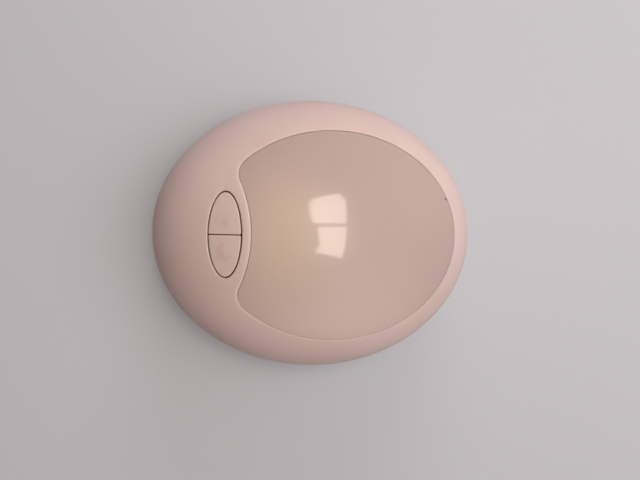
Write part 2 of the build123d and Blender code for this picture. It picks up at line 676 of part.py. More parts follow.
def contact(end, low_row, high_row, leaf_rows):
    """A sheet contact on an end wall of the bay, from row to row, with a bowed leaf on some rows."""
    wall_x = end * BAY_LENGTH / 2
    width = (high_row - low_row) * CELL_PITCH + CONTACT_WIDTH
    middle = (high_row + low_row) / 2 * CELL_PITCH
    with BuildPart() as sheet:
        with BuildSketch(Plane.YZ.offset(wall_x)):
            for row in range(low_row, high_row + 1):
                with Locations((row * CELL_PITCH, CELL_AXIS)):
                    Rectangle(CONTACT_WIDTH, CONTACT_HEIGHT)
            with Locations((middle, CELL_AXIS + (CONTACT_HEIGHT - STRAP) / 2)):
                Rectangle(width, STRAP)
        extrude(amount=-end * CONTACT_SHEET)
        for row in range(low_row, high_row + 1):
            bow = LEAF_BOW if row in leaf_rows else CONTACT_ROOM - CELL_LIFT
            inner = wall_x - end * CONTACT_SHEET
            half = CONTACT_HEIGHT / 2 - CONTACT_SHEET
            with BuildSketch(Plane.XZ.offset(-row * CELL_PITCH - LEAF_WIDTH / 2)):
                with BuildLine():
                    ThreePointArc(
                        (inner, CELL_AXIS - half),
                        (wall_x - end * bow, CELL_AXIS),
                        (inner, CELL_AXIS + half),
                    )
                    Line((inner, CELL_AXIS + half), (inner, CELL_AXIS + half - 2 * CONTACT_SHEET))
                    ThreePointArc(
                        (inner, CELL_AXIS + half - 2 * CONTACT_SHEET),
                        (wall_x - end * (bow - CONTACT_SHEET), CELL_AXIS),
                        (inner, CELL_AXIS - half + 2 * CONTACT_SHEET),
                    )
                    Line((inner, CELL_AXIS - half + 2 * CONTACT_SHEET), (inner, CELL_AXIS - half))
                make_face()
            extrude(amount=LEAF_WIDTH)
    return sheet


contact_positive = contact(1, 1, 1, [])
save(contact_positive, "contact_positive")
contact_bridge_rear = contact(-1, 0, 1, [1])
save(contact_bridge_rear, "contact_bridge_rear")
contact_bridge_front = contact(1, -1, 0, [0])
save(contact_bridge_front, "contact_bridge_front")
contact_negative = contact(-1, -1, -1, [-1])
save(contact_negative, "contact_negative")


def lead(end, row):
    """A lead from the top of a contact, out through its slot and up to the board."""
    start_x = end * (BAY_LENGTH / 2 - CONTACT_SHEET)
    height = BAY_ROOF - LEAD_SLOT / 2
    out_x = end * (BAY_LENGTH / 2 + BAY_WALL + LEAD_BEND)
    with BuildPart() as wire:
        with BuildLine() as route:
            FilletPolyline(
                (start_x, row * CELL_PITCH, height),
                (out_x, row * CELL_PITCH, height),
                (out_x, row * CELL_PITCH, BOARD_FOOT),
                radius=LEAD_BEND,
            )
        with BuildSketch(Plane(origin=route.line @ 0, z_dir=route.line % 0)):
            Circle(LEAD / 2)
        sweep()
    return wire


battery_lead_red = lead(1, 1)
save(battery_lead_red, "battery_lead_red")
battery_lead_black = lead(-1, -1)
save(battery_lead_black, "battery_lead_black")

# Screws that come up from below
board_screws = screws(
    BOARD_SCREW,
    BOARD_SCREW_LENGTH,
    BOARD_SCREW_HEAD,
    BOARD_SCREW_HEAD_HEIGHT,
    BOARD_FOOT,
    BOARD_SCREW_PLACES,
)
save(board_screws, "board_screws")

housing_screws = screws(
    HOUSING_SCREW,
    HOUSING_SCREW_LENGTH,
    HOUSING_SCREW_HEAD,
    HOUSING_SCREW_HEAD_HEIGHT,
    SINK_TOP,
    HOUSING_SCREW_PLACES,
)
save(housing_screws, "housing_screws")

for number, place in enumerate(FOOT_PLACES, start=1):
    with BuildPart() as rubber_foot:
        with BuildSketch():
            with Locations(place):
                Circle(FOOT_RADIUS)
        extrude(amount=FOOT_DROP + FOOT_SINK)
        chamfer(rubber_foot.edges().group_by(Axis.Z)[0], FOOT_BEVEL)
    save(rubber_foot, f"rubber_foot_{number}")
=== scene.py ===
import logging
import math
from dataclasses import dataclass
from enum import Enum
from typing import Any, Callable, Iterable, Optional, Sequence

import bmesh
import bpy
import numpy as np
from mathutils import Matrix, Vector
from mathutils.geometry import delaunay_2d_cdt


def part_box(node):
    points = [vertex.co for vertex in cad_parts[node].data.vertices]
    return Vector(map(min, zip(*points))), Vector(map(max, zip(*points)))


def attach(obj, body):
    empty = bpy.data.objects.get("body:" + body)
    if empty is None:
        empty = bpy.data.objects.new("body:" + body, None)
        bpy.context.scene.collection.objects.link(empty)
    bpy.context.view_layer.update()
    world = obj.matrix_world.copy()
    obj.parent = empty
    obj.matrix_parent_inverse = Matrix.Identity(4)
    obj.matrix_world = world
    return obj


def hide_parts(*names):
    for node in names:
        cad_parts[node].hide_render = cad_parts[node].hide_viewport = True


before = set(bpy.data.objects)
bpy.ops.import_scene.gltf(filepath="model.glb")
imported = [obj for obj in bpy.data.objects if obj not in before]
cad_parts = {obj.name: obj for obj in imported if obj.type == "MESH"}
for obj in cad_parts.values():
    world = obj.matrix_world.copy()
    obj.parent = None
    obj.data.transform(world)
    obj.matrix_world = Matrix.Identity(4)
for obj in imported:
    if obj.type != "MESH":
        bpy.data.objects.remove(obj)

# A battery night light: a pebble-shaped moulded housing, an opal lens and an oval pair of push keys.
# Sizes are in millimetres and turned to metres where a mesh is made.

MM = 0.001
LOG = logging.getLogger("night_light")
Points = np.ndarray


def linear(hex_code: str) -> tuple[float, float, float, float]:
    """Turn an sRGB hex colour into the linear values that the shaders take.

    Args:
        hex_code: six hex digits with a leading hash.

    Returns:
        Red, green, blue and alpha, linear.
    """
    parts = [int(hex_code[i:i + 2], 16) / 255 for i in (1, 3, 5)]
    return (*(p / 12.92 if p <= 0.04045 else ((p + 0.055) / 1.055) ** 2.4 for p in parts), 1.0)


def add_node(tree: bpy.types.NodeTree, kind: str, inputs: Optional[dict] = None, **settings: Any) -> bpy.types.Node:
    """Add a node, set its options and its inputs, and link the inputs that are given as sockets.

    Args:
        tree: the tree that gets the node.
        kind: the node's type name.
        inputs: by input name or number, a value, a hex colour, an output socket or a list of these.
        settings: the node's own options.

    Returns:
        The new node.
    """
    node = tree.nodes.new(kind)
    for name, value in settings.items():
        setattr(node, name, value)
    for name, value in (inputs or {}).items():
        for source in value if isinstance(value, list) else [value]:
            if isinstance(source, bpy.types.NodeSocket):
                tree.links.new(source, node.inputs[name])
            else:
                node.inputs[name].default_value = linear(source) if isinstance(source, str) else source
    return node


class Surface(Enum):
    """How the surface of a finish was made."""

    SPARKED = "fine spark texture of a moulded housing"
    POLISHED = "polished mould, glossy skin"
    PLATED = "plated or drawn metal with fine lines"
    MATT = "matt moulded or cast"
    MASKED = "solder mask over etched tracks"
    SLEEVED = "shrunk plastic sleeve"


@dataclass(frozen=True)
class Finish:
    """One finish of the light, by its real material and how its surface was made."""

    name: str
    colour: str
    second: str
    roughness: float
    surface: Surface
    grain_mm: float = 0.4
    grain_depth_mm: float = 0.004
    patch_mm: float = 25.0
    metallic: float = 0.0
    ior: float = 1.5
    subsurface: float = 0.0

    def material(self) -> bpy.types.Material:
        """Build the material, or hand back the one that was built before.

        Returns:
            The material of this finish.
        """
        made = bpy.data.materials.get(self.name)
        if made:
            return made
        made = bpy.data.materials.new(self.name)
        made.use_nodes = True
        tree = made.node_tree
        tree.nodes.clear()
        place = add_node(tree, "ShaderNodeTexCoord").outputs["Object"]
        colour = self.colour_of(tree, place)
        rough = self.roughness_of(tree, place)
        bump = self.bump_of(tree, place)
        shader = add_node(tree, "ShaderNodeBsdfPrincipled", {
            "Base Color": colour, "Roughness": rough, "Metallic": self.metallic, "IOR": self.ior,
            "Subsurface Weight": self.subsurface, "Subsurface Scale": 0.003,
            "Subsurface Radius": (1.0, 0.55, 0.42), "Normal": bump,
        })
        add_node(tree, "ShaderNodeOutputMaterial", {"Surface": shader.outputs["BSDF"]})
        return made

    def colour_of(self, tree: bpy.types.NodeTree, place: bpy.types.NodeSocket) -> bpy.types.NodeSocket:
        """Drift between the two colours in soft patches, with finer mottle inside them.

        Args:
            tree: the material's tree.
            place: the object coordinates.

        Returns:
            The colour socket.
        """
        patches = add_node(tree, "ShaderNodeTexNoise",
                           {"Vector": place, "Scale": 1000 / self.patch_mm, "Detail": 4.0, "Roughness": 0.6})
        ramp = add_node(tree, "ShaderNodeMapRange",
                        {"Value": patches.outputs["Fac"], "From Min": 0.35, "From Max": 0.65})
        mix = add_node(tree, "ShaderNodeMix", {0: ramp.outputs["Result"], 6: self.colour, 7: self.second},
                       data_type="RGBA")
        return mix.outputs[2]

    def roughness_of(self, tree: bpy.types.NodeTree, place: bpy.types.NodeSocket) -> bpy.types.NodeSocket:
        """Vary the roughness a little, as handling does.

        Args:
            tree: the material's tree.
            place: the object coordinates.

        Returns:
            The roughness socket.
        """
        smears = add_node(tree, "ShaderNodeTexNoise", {"Vector": place, "Scale": 1000 / 9.0, "Detail": 3.0})
        spread = 0.12 if self.surface is Surface.POLISHED else 0.2
        level = add_node(tree, "ShaderNodeMapRange", {
            "Value": smears.outputs["Fac"],
            "To Min": self.roughness * (1 - spread), "To Max": self.roughness * (1 + spread),
        })
        return level.outputs["Result"]

    def bump_of(self, tree: bpy.types.NodeTree, place: bpy.types.NodeSocket) -> bpy.types.NodeSocket:
        """Raise the fine texture that the surface has.

        Args:
            tree: the material's tree.
            place: the object coordinates.

        Returns:
            The normal socket.
        """
        scale = 1000 / self.grain_mm
        if self.surface is Surface.PLATED:
            stretched = add_node(tree, "ShaderNodeMapping", {"Vector": place, "Scale": (0.15, 1.0, 1.0)})
            height = add_node(tree, "ShaderNodeTexNoise",
                              {"Vector": stretched.outputs["Vector"], "Scale": scale, "Detail": 2.0}).outputs["Fac"]
        elif self.surface is Surface.MASKED:
            tracks = add_node(tree, "ShaderNodeTexBrick", {
                "Vector": place, "Scale": 1000 / 3.0, "Mortar Size": 0.06, "Mortar Smooth": 0.4,
            })
            height = tracks.outputs["Fac"]
        elif self.surface is Surface.SPARKED:
            craters = add_node(tree, "ShaderNodeTexVoronoi", {"Vector": place, "Scale": scale})
            fine = add_node(tree, "ShaderNodeTexNoise", {"Vector": place, "Scale": scale * 2.2, "Detail": 2.0})
            height = add_node(tree, "ShaderNodeMath", {0: craters.outputs["Distance"], 1: fine.outputs["Fac"]},
                              operation="ADD").outputs["Value"]
        else:
            height = add_node(tree, "ShaderNodeTexNoise",
                              {"Vector": place, "Scale": scale, "Detail": 3.0}).outputs["Fac"]
        bump = add_node(tree, "ShaderNodeBump",
                        {"Height": height, "Distance": self.grain_depth_mm * MM, "Strength": 1.0})
        return bump.outputs["Normal"]


# Moulded ABS, spark eroded mould: soft satin sheen with a barely seen grain, no hard reflections
SATIN_ABS = Finish("satin_abs_spark_moulded", "#E6D0CB", "#E1C9C3", 0.4, Surface.SPARKED,
                   grain_mm=0.5, grain_depth_mm=0.012, patch_mm=40, subsurface=0.3)
# The same ABS inside and below, where the mould was left plain
PLAIN_ABS = Finish("plain_abs_moulded", "#E2CBC5", "#DDC4BE", 0.5, Surface.SPARKED,
                   grain_mm=0.6, grain_depth_mm=0.014, patch_mm=30)
# Raised marks on the keys, a little greyer than the plastic round them
MARK_ABS = Finish("raised_key_mark", "#DFC6BF", "#DBC1BA", 0.5, Surface.MATT, grain_mm=0.3)
# Reflector in white filled ABS: bright and quite matt, so that it spreads the light
WHITE_ABS = Finish("white_reflector_abs", "#F4F2EC", "#EFECE4", 0.6, Surface.MATT)
# Board with white solder mask: faint raised tracks under a satin skin
SOLDER_MASK = Finish("white_solder_mask_board", "#ECECE4", "#E2E4DA", 0.35, Surface.MASKED, grain_depth_mm=0.03)
# Moulded epoxy of chips and switches: near black, dry
EPOXY = Finish("black_epoxy_moulded", "#1D1D1F", "#242426", 0.55, Surface.MATT, grain_mm=0.2)
# Phosphor gel in the emitters: warm yellow and slightly wet
PHOSPHOR = Finish("phosphor_gel_emitter", "#F2D27A", "#F6DE98", 0.25, Surface.POLISHED, subsurface=0.2)
# Drawn aluminium can of the capacitor
DRAWN_ALUMINIUM = Finish("drawn_aluminium_can", "#B9BCC0", "#B1B5BA", 0.3, Surface.PLATED, metallic=1.0)
# Zinc plated steel screws: grey, slightly blue, with turning lines
ZINC_STEEL = Finish("zinc_plated_steel_screw", "#A3A7AC", "#94999F", 0.32, Surface.PLATED, metallic=1.0)
# Turned brass of the insert
TURNED_BRASS = Finish("turned_brass_insert", "#C7A24F", "#BD9747", 0.28, Surface.PLATED, metallic=1.0)
# Nickel plated spring steel of the contacts
NICKEL_STRIP = Finish("nickel_plated_contact", "#C9CCD0", "#C1C4C8", 0.22, Surface.PLATED, metallic=1.0)
# Plain sleeve of the cells: glossy shrunk film in one colour, with no print
SLEEVE = Finish("cell_shrink_sleeve", "#4E6E86", "#486780", 0.25, Surface.SLEEVED, grain_mm=2.0)
# Insulation of the two leads
RED_PVC = Finish("red_pvc_lead", "#B3261E", "#AA2019", 0.38, Surface.MATT)
BLACK_PVC = Finish("black_pvc_lead", "#17181A", "#1D1E20", 0.38, Surface.MATT)
# Soft rubber of the feet: dry, dark warm grey, slightly dusty
RUBBER = Finish("soft_rubber_foot", "#55524F", "#5E5B57", 0.75, Surface.MATT, grain_mm=0.5, grain_depth_mm=0.01)


@dataclass(frozen=True)
class OpalFinish:
    """Opal polycarbonate of the lens: a glossy skin over a milky body, with a warm glow painted on one side, its lower
    part painted lighter and the painted shade of a nick.
    """

    name: str = "opal_polycarbonate_lens"
    body: str = "#C4ACA6"
    rim: str = "#C2ABA5"
    # Painted light: the lower part of the lens is painted lighter, standing in for light that falls there
    low: str = "#E0C8BF"
    low_at: tuple[float, float] = (4.0, -36.0)
    low_reach: tuple[float, float] = (46.0, 38.0)
    # Painted light: a warm painted glow beside the window's reflection, though the lens is no lamp
    glow: str = "#D8BFAC"
    painted_glow_at: tuple[float, float] = (-8.0, -1.0)
    painted_glow_reach: tuple[float, float] = (22.0, 26.0)
    # Painted shade: a small dark spot at the lens's right edge stands for the shade in a nick that the mesh does not
    # have
    nick_shade: str = "#6E4E44"
    nick_shade_at: tuple[float, float] = (39.85, 11.34)
    nick_shade_reach: tuple[float, float] = (0.8, 0.4)
    roughness: float = 0.32
    skin_roughness: float = 0.075

    def material(self) -> bpy.types.Material:
        """Build the lens material.

        Returns:
            The material.
        """
        made = bpy.data.materials.new(self.name)
        made.use_nodes = True
        tree = made.node_tree
        tree.nodes.clear()
        place = add_node(tree, "ShaderNodeTexCoord").outputs["Object"]
        colour = self.tint(tree, place, self.body, self.rim, (7.0, 0.0), (44.0, 38.0), False)
        # Painted light and shade over the body: the lighter lower part, the warm painted glow and the dark painted
        # shade of a nick
        for over, at, reach in ((self.low, self.low_at, self.low_reach), (self.glow, self.painted_glow_at, self.painted_glow_reach),
                                (self.nick_shade, self.nick_shade_at, self.nick_shade_reach)):
            colour = self.tint(tree, place, colour, over, at, reach, True)
        ripple = add_node(tree, "ShaderNodeTexNoise", {"Vector": place, "Scale": 1000 / 14.0, "Detail": 1.0})
        bump = add_node(tree, "ShaderNodeBump", {"Height": ripple.outputs["Fac"], "Distance": 0.02 * MM})
        shader = add_node(tree, "ShaderNodeBsdfPrincipled", {
            "Base Color": colour, "Roughness": self.roughness, "IOR": 1.4,
            "Subsurface Weight": 0.25, "Subsurface Scale": 0.006, "Subsurface Radius": (1.0, 0.7, 0.5),
            "Coat Weight": 1.0, "Coat Roughness": self.skin_roughness, "Coat IOR": 1.5,
            "Normal": bump.outputs["Normal"], "Coat Normal": bump.outputs["Normal"],
        })
        add_node(tree, "ShaderNodeOutputMaterial", {"Surface": shader.outputs["BSDF"]})
        return made

    def tint(self, tree: bpy.types.NodeTree, place: bpy.types.NodeSocket, under: Any, over: str,
             middle: tuple[float, float], reach: tuple[float, float], inside: bool) -> bpy.types.NodeSocket:
        """Lay a colour over another in a soft oval, or outside it.

        Args:
            tree: the material's tree.
            place: the object coordinates.
            under: the colour below, as hex or as a socket.
            over: the colour on top, as hex.
            middle: the oval's middle, in mm.
            reach: the oval's half axes, in mm.
            inside: whether the colour on top lies inside the oval.

        Returns:
            The mixed colour.
        """
        at = (middle[0] * MM, middle[1] * MM, 0.038)
        moved = add_node(tree, "ShaderNodeVectorMath", {0: place, 1: at}, operation="SUBTRACT")
        scaled = add_node(tree, "ShaderNodeVectorMath",
                          {0: moved.outputs[0], 1: (1 / (reach[0] * MM), 1 / (reach[1] * MM), 0)},
                          operation="MULTIPLY")
        away = add_node(tree, "ShaderNodeVectorMath", {0: scaled.outputs[0]}, operation="LENGTH")
        share = add_node(tree, "ShaderNodeMapRange", {
            "Value": away.outputs["Value"], "From Min": 0.2 if inside else 0.55, "From Max": 1.15,
            "To Min": 1.0 if inside else 0.0, "To Max": 0.0 if inside else 1.0,
        }, interpolation_type="SMOOTHSTEP")
        return add_node(tree, "ShaderNodeMix", {0: share.outputs["Result"], 6: under, 7: over},
                        data_type="RGBA").outputs[2]


@dataclass(frozen=True)
class Pebble:
    """The rule of the outer form: a Bezier profile from girth to crown, swept round an ellipse."""

    half_length: float
    half_width: float
    girth: float
    dome: float
    full: float = 0.58

    def ratio(self, t: Points) -> Points:
        """Distance from the middle as a share of the girth's ellipse, t being 0 at the crown."""
        return 3 * (1 - t) ** 2 * t * self.full + 3 * (1 - t) * t ** 2 + t ** 3

    def rise(self, t: Points) -> Points:
        """Height above the girth as a share of the dome."""
        return (1 - t) ** 3 + 3 * (1 - t) ** 2 * t + 3 * (1 - t) * t ** 2 * self.full

    def parameter(self, ratio: Points) -> Points:
        """The profile's parameter at a share of the girth's ellipse."""
        table = np.linspace(0, 1, 20001)
        return np.interp(ratio, self.ratio(table), table)

    def share_at(self, plan: Points) -> Points:
        """How far plan points are out, as a share of the girth's ellipse."""
        return np.hypot(plan[:, 0] / self.half_length, plan[:, 1] / self.half_width)

    def height_at(self, plan: Points, inset: float = 0.0) -> Points:
        """Height of the dome, moved inward by inset, over plan points.

        Args:
            plan: points in mm, one row each.
            inset: how far inward the skin lies, in mm.

        Returns:
            One height in mm for each point.
        """
        inner = Pebble(self.half_length - inset, self.half_width - inset, self.girth, self.dome - inset, self.full)
        t = inner.parameter(np.minimum(inner.share_at(plan), 1.0))
        return inner.girth + inner.dome * inner.rise(t)


@dataclass
class Outline:
    """A closed plan outline, counter-clockwise, with its outward normals."""

    points: Points
    normals: Points

    def moved(self, distance: Any) -> Points:
        """The outline moved outward by distance, one value or one for each point."""
        return self.points + self.normals * np.reshape(distance, (-1, 1))


def even(points: Points, normals: Points, count: int) -> Outline:
    """Spread a dense closed outline into evenly spaced points.

    Args:
        points: dense points along the closed outline.
        normals: their outward normals.
        count: how many points to keep.

    Returns:
        The even outline.
    """
    closed = np.vstack([points, points[:1]])
    along = np.concatenate([[0], np.cumsum(np.linalg.norm(np.diff(closed, axis=0), axis=1))])
    at = np.linspace(0, along[-1], count, endpoint=False)
    turned = np.vstack([normals, normals[:1]])
    kept = np.column_stack([np.interp(at, along, closed[:, i]) for i in (0, 1)])
    facing = np.column_stack([np.interp(at, along, turned[:, i]) for i in (0, 1)])
    return Outline(kept, facing / np.linalg.norm(facing, axis=1, keepdims=True))


def arc(centre: Sequence[float], radius: float, start: float, end: float, outward: float,
        count: int = 200) -> tuple[Points, Points]:
    """Points of an arc and the normals on the side that outward names.

    Args:
        centre: the arc's centre.
        radius: its radius.
        start: start angle in radians.
        end: end angle in radians.
        outward: 1 where the outside lies away from the centre, -1 where it lies towards it.
        count: how many points.

    Returns:
        Points and normals.
    """
    angle = np.linspace(start, end, count)
    ring = np.column_stack([np.cos(angle), np.sin(angle)])
    return np.array(centre) + radius * ring, outward * ring


def solve(gap: Callable[[float], float], low: float, high: float) -> float:
    """Halve an interval until gap changes sign inside it.

    Args:
        gap: a function that changes sign once between low and high.
        low: the lower end.
        high: the upper end.

    Returns:
        The place where gap is zero.
    """
    sign = gap(low) > 0
    for _ in range(60):
        middle = (low + high) / 2
        if (gap(middle) > 0) == sign:
            low = middle
        else:
            high = middle
    return (low + high) / 2


@dataclass(frozen=True)
class Oval:
    """An ellipse in plan."""

    middle: tuple[float, float]
    half_x: float
    half_y: float

    def at(self, angle: Any) -> tuple[Points, Points]:
        """Points and outward normals at parameter angles.

        Args:
            angle: one angle or many, in radians.

        Returns:
            Points and normals, one row each.
        """
        angle = np.atleast_1d(angle)
        points = np.column_stack([self.half_x * np.cos(angle), self.half_y * np.sin(angle)]) + self.middle
        normals = np.column_stack([np.cos(angle) / self.half_x, np.sin(angle) / self.half_y])
        return points, normals / np.linalg.norm(normals, axis=1, keepdims=True)


class Shell:
    """Collects the vertices and faces of one closed mesh."""

    def __init__(self) -> None:
        """Start empty."""
        self.rows: list[Points] = []
        self.faces: list[tuple[int, ...]] = []
        self.count = 0

    def points(self, plan: Points, height: Any) -> np.ndarray:
        """Add points.

        Args:
            plan: plan points in mm.
            height: one height in mm, or one for each point.

        Returns:
            Their numbers.
        """
        heights = np.broadcast_to(np.asarray(height, float), (len(plan),))
        self.rows.append(np.column_stack([plan, heights]))
        first = self.count
        self.count += len(plan)
        return np.arange(first, self.count)

    def strip(self, one: Sequence[int], other: Sequence[int]) -> None:
        """Join two closed loops of equal count with quads.

        Args:
            one: the first loop's numbers.
            other: the second loop's numbers.
        """
        after_one, after_other = np.roll(one, -1), np.roll(other, -1)
        self.faces += [tuple(map(int, q)) for q in zip(one, after_one, after_other, other)]

    def chain(self, loops: Iterable[Sequence[int]]) -> None:
        """Join each loop with the next.

        Args:
            loops: loops of equal count, in order.
        """
        loops = list(loops)
        for one, other in zip(loops, loops[1:]):
            self.strip(one, other)

    def close(self, loop: Sequence[int], point: Sequence[float]) -> None:
        """Close a loop with a fan to one point.

        Args:
            loop: the loop's numbers.
            point: the fan's middle, in mm.
        """
        tip = int(self.points(np.array([point[:2]]), point[2])[0])
        self.faces += [(int(a), int(b), tip) for a, b in zip(loop, np.roll(loop, -1))]

    def build(self, name: str, sharp: float = 40.0) -> bpy.types.Object:
        """Make the object, its faces outward and its shading smooth up to an angle.

        Args:
            name: the piece's name.
            sharp: edges steeper than this many degrees stay sharp.

        Returns:
            The object, linked to the scene.
        """
        mesh = bpy.data.meshes.new(name)
        mesh.from_pydata((np.vstack(self.rows) * MM).tolist(), [], self.faces)
        return finish_mesh(mesh, name, sharp)


def finish_mesh(mesh: bpy.types.Mesh, name: str, sharp: float) -> bpy.types.Object:
    """Turn the faces outward, shade smooth and link the object.

    Args:
        mesh: the mesh.
        name: the piece's name.
        sharp: edges steeper than this many degrees stay sharp.

    Returns:
        The linked object.
    """
    work = bmesh.new()
    work.from_mesh(mesh)
    bmesh.ops.recalc_face_normals(work, faces=work.faces)
    work.to_mesh(mesh)
    work.free()
    mesh.shade_smooth()
    mesh.set_sharp_from_angle(angle=math.radians(sharp))
    piece = bpy.data.objects.new(name, mesh)
    bpy.context.scene.collection.objects.link(piece)
    return piece


def dress(piece: bpy.types.Object, finish: Any) -> None:
    """Give the whole piece one finish."""
    material = finish.material()
    piece.data.materials.clear()
    piece.data.materials.append(material)


def declare(piece: bpy.types.Object, body: str, slot: str, *nodes: str) -> None:
    """Attach the piece to the body that it moves with, hide the CAD nodes that it stands for, and log it.

    Args:
        piece: the finished piece.
        body: the body that it rides on.
        slot: the record's material slot; not used.
        nodes: the CAD nodes that it stands for.
    """
    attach(piece, body)
    if nodes:
        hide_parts(*nodes)
    LOG.info("%s: %d faces, rides on %s", piece.name, len(piece.data.polygons), body)


def rounded_edge(count: int) -> list[tuple[float, float]]:
    """Shares of the way in and of the way down along a rounded edge.

    Args:
        count: how many steps.

    Returns:
        Pairs of the share left to go outward and the share gone down.
    """
    return [(1 - math.sin(a), 1 - math.cos(a)) for a in np.linspace(0, math.pi / 2, count + 1)]


def rings(shell: Shell, loop: Points, middle: tuple[float, float], height: Callable[[Points], Points],
          count: int, inward: float = 1.0) -> list[np.ndarray]:
    """Fill a loop towards its middle with shrinking rings and a fan.

    Args:
        shell: the mesh that gets them.
        loop: the plan loop, in mm.
        middle: the point that the rings shrink to.
        height: gives the height over plan points.
        count: how many rings.
        inward: above 1 the rings crowd towards the loop.

    Returns:
        The rings, from the loop inward.
    """
    shares = 1 - np.linspace(0, 1, count + 1)[:-1] ** inward
    centre = np.array(middle)
    made = []
    for share in shares:
        plan = centre + (loop - centre) * share
        made.append(shell.points(plan, height(plan)))
    shell.chain(made)
    tip = height(centre.reshape(1, 2))[0]
    shell.close(made[-1], (*middle, tip))
    return made


@dataclass
class Lens:
    """The opal window: a flush dome with a thick rim, a seating flange and a thin hollow skin."""

    form: Pebble
    middle: float = 7.0
    half_length: float = 35.75
    half_width: float = 30.2
    notch_edge: float = -16.2
    notch_radius: float = 34.0
    corner: float = 5.0
    fit: float = 0.06
    play: tuple[float, float] = (0.042, -0.034)
    sink: float = 0.2
    sink_from: float = 0.5
    round_over: float = 0.14
    wall: float = 2.0
    housing_wall: float = 2.2
    flange: float = 1.2
    reach: float = 1.2
    rim: float = 1.6
    ring_middle: tuple[float, float] = (9.0, 0.0)
    samples: int = 400
    ring_count: int = 46

    def outline(self) -> Outline:
        """The lens opening: an ellipse with a round bite on its left, its corners rounded.

        Returns:
            The outline, evenly spaced.
        """
        oval = Oval((self.middle, 0.0), self.half_length, self.half_width)
        bite = np.array([self.notch_edge - self.notch_radius, 0.0])

        def corner_middle(angle: float) -> Points:
            point, normal = oval.at(angle)
            return (point - self.corner * normal)[0]

        turn = solve(lambda a: float(np.linalg.norm(corner_middle(a) - bite)) - self.notch_radius - self.corner,
                     math.pi / 2, math.pi)
        upper = corner_middle(turn)
        lower = upper * (1, -1)
        _, leaving = oval.at(turn)
        first = math.atan2(leaving[0, 1], leaving[0, 0])
        towards = bite - upper
        last = math.atan2(towards[1], towards[0]) % (2 * math.pi)
        swing = math.atan2(upper[1] - bite[1], upper[0] - bite[0])
        parts = [
            oval.at(np.linspace(-turn, turn, 1600)),
            arc(upper, self.corner, first, last, 1),
            arc(bite, self.notch_radius, swing, -swing, -1, 500),
            arc(lower, self.corner, 2 * math.pi - last, 2 * math.pi - first, 1),
        ]
        return even(np.vstack([p for p, _ in parts]), np.vstack([n for _, n in parts]), self.samples)

    def skin(self, plan: Points) -> Points:
        """Height of the outer skin: the dome's own at the crown, a little below it at the edge."""
        depth = np.minimum(self.form.share_at(plan) / self.sink_from, 1.0) ** 2
        return self.form.height_at(plan) - self.sink * depth

    def build(self) -> bpy.types.Object:
        """Build the lens as one closed mesh.

        Returns:
            The lens.
        """
        # The lens lies against the lower right of its opening, so the groove shows at the upper left
        centred = self.outline()
        outline = Outline(centred.points + self.play, centred.normals)
        shell = Shell()
        edge = -self.fit - self.round_over
        top = rings(shell, outline.moved(edge), self.ring_middle, self.skin, self.ring_count, 1.5)
        loops = [top[0]]
        for out, down in rounded_edge(6)[1:]:
            plan = outline.moved(edge + self.round_over * (1 - out))
            loops.append(shell.points(plan, self.skin(plan) - self.round_over * down))
        seat = self.housing_wall + self.fit
        under = seat + self.flange
        for offset, inset in ((-self.fit, seat), (self.reach, seat), (self.reach, under),
                              (-self.fit - self.rim, under)):
            plan = outline.moved(offset)
            loops.append(shell.points(plan, self.form.height_at(plan, inset)))
        inside = rings(shell, outline.moved(-self.fit - self.rim), self.ring_middle,
                       lambda plan: self.form.height_at(plan, self.wall), self.ring_count // 2)
        shell.chain([*loops, inside[0]])
        return shell.build("opal_lens")


